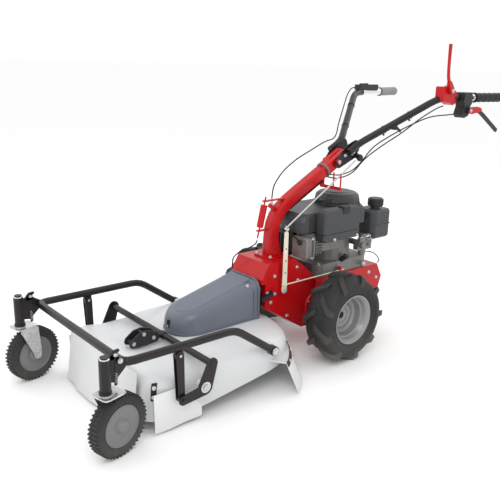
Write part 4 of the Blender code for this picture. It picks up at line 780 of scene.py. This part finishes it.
def make_cover():
    rings = []
    for inset, share in ((0.0, None), (0.0006, None), (0.002, 0.036), (0.0045, 0.024), (0.0085, 0.0145),
                         (0.014, 0.0075), (0.021, 0.003), (0.029, 0.0006), (0.037, 0.0)):
        ring = []
        for x, y in cover_outline(inset):
            if share is None:
                z = 0.1965 if inset == 0.0 else 0.201
            else:
                z = cover_top(y) - share
            ring.append(Vector((x, y, z)))
        rings.append(ring)
    shells = [rings_shell(rings)]
    piece("cover_shell", shells, "grey_cover", "chassis", stands=["transmission_cover"], angle=45)
    ridge = []
    for inset, lift in ((0.033, -0.001), (0.035, 0.0016), (0.038, 0.0024), (0.045, 0.0026)):
        ridge.append([Vector((x, min(y, COVER_REAR - 0.022), cover_top(y) + lift)) for x,
                      y in cover_outline(inset)])
    piece("cover_ridge", [rings_shell(ridge)], "grey_cover", "chassis", angle=40)
    hem = [[Vector((x, y, z)) for x, y in cover_outline(-0.0022)] for z in (0.1966, 0.202)]
    piece("cover_hem", [rings_shell(hem)], "grey_cover", "chassis", bevel=0.0008)
    collar = []
    for start, end, out in ((0.001, 0.01, 0.0022), (0.024, 0.029, 0.0012)):
        y0, y1 = COVER_REAR - start, COVER_REAR - end
        top = cover_top(y0)
        arch = [(-COVER_WIDE - 0.002 - out, 0.2), (-COVER_WIDE - 0.002 - out, top - 0.028),
                (-COVER_WIDE + 0.02, top + out), (COVER_WIDE - 0.02, top + out),
                (COVER_WIDE + 0.002 + out, top - 0.028), (COVER_WIDE + 0.002 + out, 0.2)]
        collar.append(prism(rounded(arch, 0.02, 6), min(y0, y1), max(y0, y1), "Y"))
    piece("cover_collar", collar, "grey_cover", "chassis", bevel=0.0008)
    nose = COVER_NOSE - COVER_WIDE
    # the nose slot is a near-black patch on the cover: painted shade for the opening
    slot = [prism(rounded([(-0.0055, 0.212), (0.0055, 0.212), (0.0055, 0.24), (-0.0055, 0.24)], 0.0054, 5),
                  nose - 0.0006, nose + 0.006, "Y")]
    piece("cover_slot_shade", slot, "painted_hole_shade", "chassis")
    head = bolt((0, nose - 0.0004, 0.218), (0, -1, 0), 0.004, 0.0025, False)
    for side in (1, -1):
        head += bolt((side * 0.07, COVER_REAR - 0.045, cover_top(COVER_REAR - 0.045) - 0.0062),
                     (side * 0.7, 0, 1),
                     0.0045, 0.003)
    piece("cover_bolts", head, "zinc", "chassis", bevel=0.0003)


# ---------------------------------------------------------------- tractor details
def make_body_bolts():
    spots = [(-0.229, 0.338), (-0.225, 0.27), (-0.262, 0.279), (-0.118, 0.352), (-0.11, 0.3), (-0.06, 0.13),
             (0.03, 0.15), (0.04, 0.24), (-0.16, 0.17), (-0.245, 0.24)]
    heads = side_bolts(0.083, spots, 0.0058, 0.004)
    piece("gearbox_bolts", heads, "zinc", "chassis", bevel=0.0004)
    spots = [(x, y, 0.395) for x in (0.037, -0.037) for y in (-0.212, -0.138)]
    heads = bolts_at(spots, (0, 0, 1), 0.0058, 0.0045)
    piece("flange_bolts", heads, "zinc", "chassis", bevel=0.0004)
    ribs = []
    for side in (1, -1):
        seam = [(-0.272, 0.236), (-0.268, 0.236), (-0.214, 0.378), (-0.218, 0.378)]
        ribs.append(prism(seam, *sorted((side * 0.0825, side * 0.084))))
        web = [(-0.02, 0.206), (0.052, 0.206), (0.05, 0.222), (-0.018, 0.222)]
        ribs.append(prism(web, *sorted((side * 0.082, side * 0.086))))
        ribs.append(lathe([(0, 0.0), (0, 0.054), (0.005, 0.05), (0.0065, 0.04), (0.0065, 0)],
                          (side * 0.082, AXLE.y, AXLE.z), (side, 0, 0), 48))
    piece("gearbox_ribs", ribs, "red_paint", "chassis", bevel=0.0008)
    hub_bolts = []
    for side in (1, -1):
        for k in range(6):
            a = 2 * pi * (k + 0.5) / 6
            spot = (side * 0.0868, AXLE.y + 0.045 * cos(a), AXLE.z + 0.045 * sin(a))
            hub_bolts += bolt(spot, (side, 0, 0), 0.0042, 0.003, False)
    piece("axle_flange_bolts", hub_bolts, "zinc", "chassis", bevel=0.0003)
    heads = side_bolts(0.1, [(0.01, 0.262), (0.15, 0.262), (0.285, 0.262), (0.335, 0.23)], 0.0055, 0.004)
    piece("chassis_bolts", heads, "zinc", "chassis", bevel=0.0004)


COLLAR = Vector((0, 0.08, 0.6857))  # the ribbed collar's middle on the column


def make_column_dress():
    """The dark edge strip under the column, the fittings by the lock handle, bolt heads and the ribbed
    collar.
    """
    path = smooth_path([(0, -0.1, 0.5585), (0, -0.011, 0.6055), (0, 0.07, 0.648)], 6)
    strip = sweep(path, [(-0.015, -0.0016), (0.015, -0.0016), (0.015, 0.0016), (-0.015, 0.0016)])
    piece("column_edge_strip", [strip], "black_plastic", "column", angle=50)
    nut = [rod((-0.003, -0.179, 0.578), (-0.003, -0.179, 0.608), 0.0042, 16)]
    nut += bolt((-0.003, -0.179, 0.5815), (0, 0, 1), 0.0072, 0.006)
    piece("cable_anchor", nut, "zinc", "column", bevel=0.0004)
    heads = side_bolts(0.0396, [(0.129, 0.72)], 0.0088, 0.0035, False)
    piece("tilt_bolt_caps", heads, "zinc", "column", bevel=0.0004)
    heads = side_bolts(0.0325, [(0.212, 0.7505)], 0.0095, 0.0055)
    heads += side_bolts(0.0325, [(0.168, 0.742)], 0.0055, 0.004)
    piece("clamp_bolts", heads, "zinc", "handlebars", bevel=0.0004)
    collar = [lathe([(0, 0.025), (0, 0.0305), (0.0045, 0.031), (0.009, 0.0305), (0.009, 0.025)],
                    COLLAR, (0, 0.885, 0.465), 40)]
    along, rise = Vector((0, 0.885, 0.465)).normalized(), Vector((0, -0.465, 0.885)).normalized()
    for k in range(24):
        a = 2 * pi * k / 24
        out = Vector((cos(a), 0, 0)) + rise * sin(a)
        root = COLLAR + out * 0.03 + along * 0.0015
        collar.append(rod(root, root + along * 0.006, 0.0022, 8))
    piece("column_collar", collar, "disc_plastic", "column", bevel=0.0005)


ENGINE = Vector((0, 0.173, 0.55))  # the recoil starter's middle


def hose(name, points, radius):
    return piece(name, [sweep(smooth_path(points), radius)], "cable_black", "chassis", angle=60)


def make_engine_dress():
    """Seams, vents, bolts, fins and the small hardware round the engine."""
    vents = []
    for out, across in fan(28):
        rings = []
        for radius, z in ((0.088, 0.016), (0.079, 0.041)):
            rings.append([ENGINE + out * (radius + lift) + across * wide + Vector((0, 0, z))
                          for lift, wide in ((0.0, -0.0024), (0.0018, -0.0024), (0.0018, 0.0024),
                              (0.0, 0.0024))])
        vents.append(rings_shell(rings))
    piece("recoil_vanes", vents, "black_plastic", "chassis")
    cap = [lathe([(0.0475, 0), (0.0475, 0.058), (0.0502, 0.055), (0.0515, 0.042), (0.0515, 0)], ENGINE,
        (0, 0, 1), 56),
           lathe([(0.0015, 0.088), (0.0015, 0.0915), (0.005, 0.0925), (0.0085, 0.0915), (0.0085, 0.088)],
                 ENGINE,
                 (0, 0, 1), 56)]
    piece("recoil_rings", cap, "engine_plastic", "chassis", angle=45)
    heads = []
    for k in range(4):
        a = pi / 4 + pi / 2 * k
        heads += bolt((0.098 * cos(a) * 0.92, 0.173 + 0.098 * sin(a), 0.5435), (0, 0, 1), 0.0045, 0.0035)
    for y, z in ((-0.0845, 0.394), (-0.0845, 0.466)):
        for x in (0.053, 0.13):
            heads += bolt((x, y - 0.0055, z), (0, -1, 0), 0.0042, 0.004)
    for y, z in ((0.01, 0.452), (0.136, 0.452)):
        heads += bolt((0.146, y, z), (1, 0, 0), 0.0048, 0.004)
    for x in (0.08, -0.08):
        for y in (0.000, 0.255):
            heads += bolt((x, y, 0.34), (0, 0, 1), 0.006, 0.005)
    piece("engine_bolts", heads, "zinc", "chassis", bevel=0.0003)
    fins = []
    for k in range(7):
        z = 0.398 + 0.011 * k
        fins.append(block((0.04, -0.046, z), (0.1, 0.004, z + 0.0028)))
    piece("cylinder_fins", fins, "cast_aluminium", "chassis", bevel=0.0005)
    seam = [prism(rounded([(-0.0485, 0.4735), (0.1535, 0.4735), (0.1535, 0.4765), (-0.0485, 0.4765)],
                          0.0015, 2),
                  0.1, 0.1472)]
    piece("filter_seam", seam, "black_plastic", "chassis", bevel=0.0004)
    latch = [prism(rounded([(0.05, 0.545), (0.084, 0.545), (0.084, 0.573), (0.05, 0.573)], 0.004, 3),
                   0.118, 0.149)]
    piece("filter_latch", latch, "black_plastic", "chassis", bevel=0.001)
    # the guard's slots are near-black patches: painted shade for the openings
    slot_shades = []
    for k in range(6):
        x = -0.07 + 0.017 * k
        hole = [(x, 0.392), (x + 0.009, 0.392), (x + 0.009, 0.462), (x, 0.462)]
        slot_shades.append(prism(rounded(hole, 0.004, 3), -0.1105, -0.1075, "Y"))
    piece("muffler_slot_shade", slot_shades, "painted_hole_shade", "chassis")
    carb = [rod((0.118, 0.196, 0.396), (0.137, 0.196, 0.396), 0.0125, 24),
            rod((0.118, 0.236, 0.396), (0.133, 0.236, 0.396), 0.008, 20),
            rod((0.11, 0.215, 0.35), (0.11, 0.215, 0.36), 0.0105, 24),
            block((0.112, 0.182, 0.408), (0.1285, 0.206, 0.424)), block((0.11, 0.224, 0.408),
                (0.126, 0.252, 0.42))]
    piece("carburettor_parts", carb, "cast_aluminium", "chassis", bevel=0.0008)
    lever = rounded([(0.186, 0.42), (0.25, 0.426), (0.25, 0.432), (0.186, 0.428)], 0.002, 3)
    levers = [prism(lever, 0.12, 0.1225),
              rod((0.1215, 0.244, 0.429), (0.1215, 0.268, 0.404), 0.0016, 10),
              rod((0.1215, 0.19, 0.424), (0.1215, 0.176, 0.372), 0.0016, 10)]
    coils = [Vector((0.1235 + 0.003 * cos(2 * pi * k / 8), 0.206 + 0.0007 * k, 0.436
                     + 0.003 * sin(2 * pi * k / 8)))
             for k in range(49)]
    levers.append(sweep(coils, 0.0006, 6))
    piece("governor_links", levers, "zinc", "chassis")
    hose("fuel_line", [(0.07, 0.3, 0.404), (0.074, 0.299, 0.384), (0.082, 0.296, 0.366),
                       (0.098, 0.27, 0.37), (0.108, 0.252, 0.392)], 0.0034)
    hose("spark_lead", [(0.098, -0.122, 0.452), (0.1, -0.136, 0.462),
                        (0.072, -0.138, 0.478), (0.04, -0.122, 0.488)], 0.0034)
    plug = [rod((0.094, -0.119, 0.446), (0.1, -0.133, 0.458), 0.008, 20)]
    piece("spark_plug_cap", plug, "grip_rubber", "chassis", bevel=0.0008)
    hose("breather_pipe", [(0.06, 0.262, 0.345), (0.1, 0.282, 0.35), (0.118, 0.3, 0.338),
                           (0.12, 0.32, 0.312), (0.104, 0.33, 0.296)], 0.002)
    drain = [rod((0.092, 0.23, 0.312), (0.112, 0.23, 0.312), 0.0085, 24)]
    drain += bolt((0.112, 0.23, 0.312), (1, 0, 0), 0.007, 0.006)
    piece("oil_drain", drain, "zinc", "chassis", bevel=0.0004)
    dip = [rod((0.086, 0.12, 0.338), (0.104, 0.126, 0.356), 0.0095, 24),
           rod((0.104, 0.126, 0.356), (0.108, 0.1275, 0.36), 0.0125, 24)]
    piece("oil_filler", dip, "black_plastic", "chassis", bevel=0.0006)
    knurls = []
    at = Vector((0.068, 0.334, 0.535))
    for out, across in fan(24):
        rings = [[at + out * (0.031 + lift) + across * wide + Vector((0, 0, z))
                  for lift, wide in ((0.0, -0.0016), (0.0013, -0.001), (0.0013, 0.001), (0.0, 0.0016))]
                 for z in (0.0, 0.022)]
        knurls.append(rings_shell(rings))
    piece("cap_knurls", knurls, "black_plastic", "filler_cap")
    band = [prism(rounded([(0.0085, 0.2745), (0.094, 0.2745), (0.1138, 0.291), (0.1138, 0.3895),
        (0.0085, 0.3895)],
                          0.017, 6), 0.458, 0.4615, "Z")]
    piece("tank_seam", band, "engine_plastic", "chassis", bevel=0.0008)


def make_selector_dress():
    heads = bolt((0.1065, -0.196, 0.281), (1, 0, 0), 0.0062, 0.0035)
    piece("selector_pivot_bolt", heads, "zinc", "chassis", bevel=0.0004)
    # near-black discs on the arm: painted shade for its holes
    holes = []
    for z in (0.35, 0.395, 0.44):
        holes.append(rod((0.1022, -0.196, z), (0.1029, -0.196, z), 0.003, 16))
    piece("selector_hole_shade", holes, "painted_hole_shade", "gear_arm")
    guide = bolt((0.111, 0.098, 0.29), (1, 0, 0), 0.0042, 0.003)
    piece("rod_guide_bolt", guide, "zinc", "chassis", bevel=0.0003)


# ---------------------------------------------------------------- handlebars
GRIP_START = Vector((0.243, 0.69, 0.9675))
GRIP_END = Vector((0.27, 0.835, 0.968))
BAR_FOOT = Vector((0.0475, 0.228, 0.787))
BAR_BEND = Vector((0.216, 0.489, 0.967))
BAR_R = 0.0139  # the dressings' bore


def mirrored(point, side):
    return Vector((point.x * side, point.y, point.z))


def make_grips():
    length = (GRIP_END - GRIP_START).length
    for name, side in SIDES:
        start, end = mirrored(GRIP_START, side), mirrored(GRIP_END, side)
        profile = [(0, 0.0146), (0, 0.0196), (0.001, 0.0202), (0.004, 0.0202), (0.0052, 0.019),
            (0.007, 0.0174)]
        if side == 1:
            for k in range(4):
                at = 0.012 + k * 0.03
                for step in range(9):
                    t = step / 9
                    profile.append((at + 0.03 * t, 0.017 + 0.0018 * sin(pi * t)))
        else:
            for k in range(12):
                at = 0.012 + k * 0.0102
                profile += [(at, 0.017), (at + 0.0012, 0.0184), (at + 0.0068, 0.0184), (at + 0.008, 0.017)]
        profile += [(length - 0.01, 0.0178), (length - 0.008, 0.019), (length - 0.003, 0.0186),
            (length, 0.015),
                    (length, 0), (length * 0.93, 0), (length * 0.93, 0.0146)]
        look = "grip_rubber" if side == 1 else "grey_grip"
        sleeve = [lathe(profile, start, end - start, 40)]
        piece(name + "_grip_sleeve", sleeve, look, "handlebars", [name + "_grip"], angle=50)
    bend, end = mirrored(BAR_BEND, -1), mirrored(GRIP_START, -1)
    low, high = bend.lerp(end, 0.26), bend.lerp(end, 0.985)
    piece("right_bar_chrome", [lathe([(0, BAR_R), (0, 0.0146), ((high - low).length, 0.0146),
                                      ((high - low).length, BAR_R)], low, high - low, 40)], "chrome",
                                      "handlebars")


def make_bar_dress():
    """Cable clips and ties along both bars, and the switch and lever hardware."""
    for name, side in SIDES:
        a, b = mirrored(BAR_FOOT, side), mirrored(BAR_BEND, side)
        ties = []
        for share in (0.3, 0.62) if side == 1 else (0.28, 0.7):
            at = a.lerp(b, share)
            along = (b - a).normalized()
            ties.append(lathe([(0, BAR_R), (0, 0.0154), (0.005, 0.0154), (0.005, BAR_R)], at, along, 28))
            under = at + Vector((0, 0, -0.019)) + along * 0.0025
            ties.append(rod(under - along * 0.003, under + along * 0.003, 0.0055, 16))
        piece(name + "_cable_ties", ties, "black_plastic", "handlebars", bevel=0.0004)
    near = (GRIP_END - GRIP_START).normalized()
    band = GRIP_START - near * 0.024
    tube = [(0, BAR_R), (0, 0.0145), (0.021, 0.0145), (0.021, BAR_R)]
    piece("left_bar_chrome", [lathe(tube, band, near, 40)], "chrome", "handlebars")
    clip = BAR_FOOT.lerp(BAR_BEND, 0.47)
    corners = ((-0.004, -0.012), (0.03, -0.034), (0.026, -0.042), (-0.014, -0.02))
    plate = [(clip.y + y, clip.z + z) for y, z in corners]
    centre = clip + Vector((0, -0.016, -0.02))
    reach = Vector((0.012, 0, 0))
    arm = [prism(plate, clip.x - 0.003, clip.x + 0.003), rod(centre - reach, centre + reach, 0.0095, 24)]
    piece("cable_guide_clip", arm, "black_plastic", "handlebars", bevel=0.0008)
    heads = bolt((0.2535, 0.519, 0.995), (1, 0, 0), 0.0062, 0.003)
    piece("clutch_pivot_bolt", heads, "zinc", "handlebars", bevel=0.0004)
    heads = bolt((0.2745, 0.627, 0.919), (1, 0, 0), 0.0058, 0.003)
    piece("brake_pivot_bolt", heads, "zinc", "handlebars", bevel=0.0004)
    teeth = []
    for k in range(5):
        y, z = 0.529 + 0.0085 * k, 1.01 - 0.0048 * k
        teeth.append(prism([(y, z - 0.002), (y + 0.005, z - 0.004), (y + 0.0035, z + 0.004)], 0.203, 0.2365))
    piece("clutch_bracket_teeth", teeth, "red_paint", "handlebars", bevel=0.0004)


def make_brake_hub():
    """The lever's red carrier over its black hub."""
    y, z = 0.627, 0.919
    outline = [(y - 0.013, z - 0.011), (y - 0.007, z + 0.014), (y + 0.045, z + 0.015), (y + 0.078, z + 0.008),
               (y + 0.082, z - 0.006), (y + 0.05, z - 0.0085), (y + 0.01, z - 0.0145)]
    shell = prism(rounded(outline, 0.006, 4), 0.2732, 0.2752)
    piece("brake_carrier", [shell], "red_paint", "brake_arm", bevel=0.0006)


# ---------------------------------------------------------------- cables
CABLES = {
    "throttle_cable": [
        (-0.226, 0.502, 0.988), (-0.229, 0.478, 0.982), (-0.223, 0.45, 0.959), (-0.199, 0.41, 0.931),
        (-0.156, 0.345, 0.889), (-0.118, 0.286, 0.846), (-0.085, 0.24, 0.813), (-0.064, 0.198, 0.796),
        (-0.054, 0.138, 0.787), (-0.048, 0.057, 0.76), (-0.04, -0.029, 0.73), (-0.028, -0.105, 0.693),
        (-0.013, -0.16, 0.65), (-0.003, -0.179, 0.608),
    ],
    "brake_cable": [
        (0.244, 0.587, 0.906), (0.23, 0.54, 0.902), (0.206, 0.455, 0.894), (0.18, 0.367, 0.864),
        (0.13, 0.305, 0.818), (0.093, 0.258, 0.774), (0.074, 0.218, 0.72), (0.06, 0.18, 0.686),
        (0.03, 0.144, 0.668), (0.002, 0.12, 0.668), (-0.006, 0.098, 0.662), (-0.006, 0.002, 0.613),
        (-0.006, -0.093, 0.558), (-0.006, -0.134, 0.518), (-0.006, -0.148, 0.48),
        (-0.006, -0.143, 0.435), (-0.006, -0.135, 0.412), (-0.006, -0.132, 0.398),
    ],
    "clutch_cable": [
        (0.215, 0.52, 0.936), (0.206, 0.485, 0.924), (0.187, 0.418, 0.888), (0.159, 0.345, 0.834),
        (0.115, 0.283, 0.781), (0.08, 0.235, 0.733), (0.054, 0.19, 0.676), (0.022, 0.148, 0.654),
        (-0.008, 0.122, 0.656), (-0.0145, 0.098, 0.661), (-0.0145, 0.002, 0.613), (-0.0145, -0.093, 0.558),
        (-0.0145, -0.134, 0.518), (-0.0145, -0.148, 0.48), (-0.0145, -0.143, 0.435),
        (-0.0145, -0.135, 0.412), (-0.0145, -0.132, 0.398),
    ],
    "lock_cable": [
        (0.0000, -0.246, 0.457), (-0.004, -0.253, 0.443), (-0.02, -0.271, 0.427),
        (-0.046, -0.291, 0.409), (-0.066, -0.302, 0.385), (-0.07, -0.304, 0.356), (-0.07, -0.304, 0.344),
    ],
}
CABLE_R = 0.0024


def free_piece(name, shells, look):
    """A mesh left with no body."""
    made = piece(name, shells, look, "chassis", angle=60)
    made.parent = None
    made.matrix_world = Matrix.Identity(4)
    return made


def make_cables():
    """Each sleeve crosses the tilt joint above and the swivel below; all but the lock cable's are cut in two
    where the path passes y = 0.045, the throttle sleeve's lower part rides on the column and the other parts
    are left with no body.
    """
    for name, points in CABLES.items():
        path = smooth_path(points, 8)
        if name == "lock_cable":
            made = free_piece("lock_cable_sleeve", [sweep(path, CABLE_R)], "cable_black")
            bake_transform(made)
            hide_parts(name)
            continue
        split = max(i for i, p in enumerate(path) if p.y > 0.045)
        upper, lower = path[:split + 1], path[split:]
        made = free_piece(name + "_upper", [sweep(upper, CABLE_R)], "cable_black")
        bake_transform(made)
        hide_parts(name)
        if name == "throttle_cable":
            made = piece(name + "_lower", [sweep(lower, CABLE_R)], "cable_black", "column",
                         stands=[name], angle=60)
        else:
            made = free_piece(name + "_lower", [sweep(lower, CABLE_R)], "cable_black")
            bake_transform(made)
            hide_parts(name)


# ---------------------------------------------------------------- front frame dress
def make_frame_dress():
    heads = []
    for side in (1, -1):
        for reach in (1, -1):
            heads += bolt((side * (0.283 + reach * 0.0105), -0.786, 0.261), (side * reach, 0, 0), 0.0048,
                          0.0025, False)
    piece("link_pin_heads", heads, "zinc", "caster_frame", bevel=0.0003)
    bolts = []
    for y, z in ((-0.796, 0.212), (-0.758, 0.236)):
        for x, way in ((0.01, -1), (0.048, 1)):
            bolts += bolt((x, y, z), (way, 0, 0), 0.0052, 0.003)
    bolts += bolt((0.048, -0.722, 0.216), (1, 0, 0), 0.0052, 0.003)
    piece("quadrant_bolts", bolts, "zinc", "chassis", bevel=0.0003)
    crank = bolt((0.0405, -0.675, 0.206), (1, 0, 0), 0.005, 0.003)
    piece("crank_clamp_bolt", crank, "zinc", "lift_crank", bevel=0.0003)


# ---------------------------------------------------------------- stage
def make_stage():
    mesh = bpy.data.meshes.new("floor")
    mesh.from_pydata([(-300, -300, 0), (300, -300, 0), (300, 300, 0), (-300, 300, 0)], [], [(0, 1, 2, 3)])
    floor = bpy.data.objects.new("floor", mesh)
    bpy.context.scene.collection.objects.link(floor)
    pale = bpy.data.materials.new("pale_floor")
    pale.use_nodes = True
    shader = pale.node_tree.nodes["Principled BSDF"]
    shader.inputs["Base Color"].default_value = (0.93, 0.93, 0.93, 1)
    shader.inputs["Roughness"].default_value = 0.9
    mesh.materials.append(pale)
    bpy.context.scene.view_settings.view_transform = "Standard"
    world = bpy.data.worlds.new("studio")
    bpy.context.scene.world = world
    world.use_nodes = True
    world.node_tree.nodes["Background"].inputs["Color"].default_value = (1.0, 1.0, 1.0, 1)
    world.node_tree.nodes["Background"].inputs["Strength"].default_value = 1.05
    for name, spot, size, power in (("key", (2.2, -2.4, 3.4), 2.4, 52), ("fill", (-2.8, -1.4, 2.2), 3.0, 14),
                                    ("rim", (-0.6, 3.0, 3.0), 2.6, 26)):
        light = bpy.data.lights.new(name, "AREA")
        light.size = size
        light.energy = power
        lamp = bpy.data.objects.new(name, light)
        bpy.context.scene.collection.objects.link(lamp)
        lamp.location = spot
        lamp.rotation_euler = (Vector((0, 0, 0.4)) - Vector(spot)).to_track_quat("-Z", "Y").to_euler()


def make_camera():
    target, distance = Vector((0.0368, -0.1991, 0.424)), 2.3084
    azimuth, elevation, roll = radians(49.1497), radians(16.0587), radians(1.6155)
    back = Vector((sin(azimuth) * cos(elevation), -cos(azimuth) * cos(elevation), sin(elevation)))
    flat = Vector((cos(azimuth), sin(azimuth), 0))
    rise = back.cross(flat)
    right = flat * cos(roll) + rise * sin(roll)
    up = rise * cos(roll) - flat * sin(roll)
    data = bpy.data.cameras.new("camera")
    data.sensor_width = 36.0
    data.lens = 46.8
    camera = bpy.data.objects.new("camera", data)
    bpy.context.scene.collection.objects.link(camera)
    place = target + back * distance
    camera.matrix_world = Matrix((
        (right.x, up.x, back.x, place.x), (right.y, up.y, back.y, place.y), (right.z, up.z, back.z, place.z),
        (0, 0, 0, 1)))
    bpy.context.scene.camera = camera


make_camera()
make_stage()
dress_cad()
make_drive_wheels()
make_casters()
make_swivels()
make_deck()
make_deck_trim()
make_flaps()
make_cover()
make_body_bolts()
make_column_dress()
make_engine_dress()
make_selector_dress()
make_grips()
make_bar_dress()
make_brake_hub()
make_cables()
make_frame_dress()

bpy.context.view_layer.update()
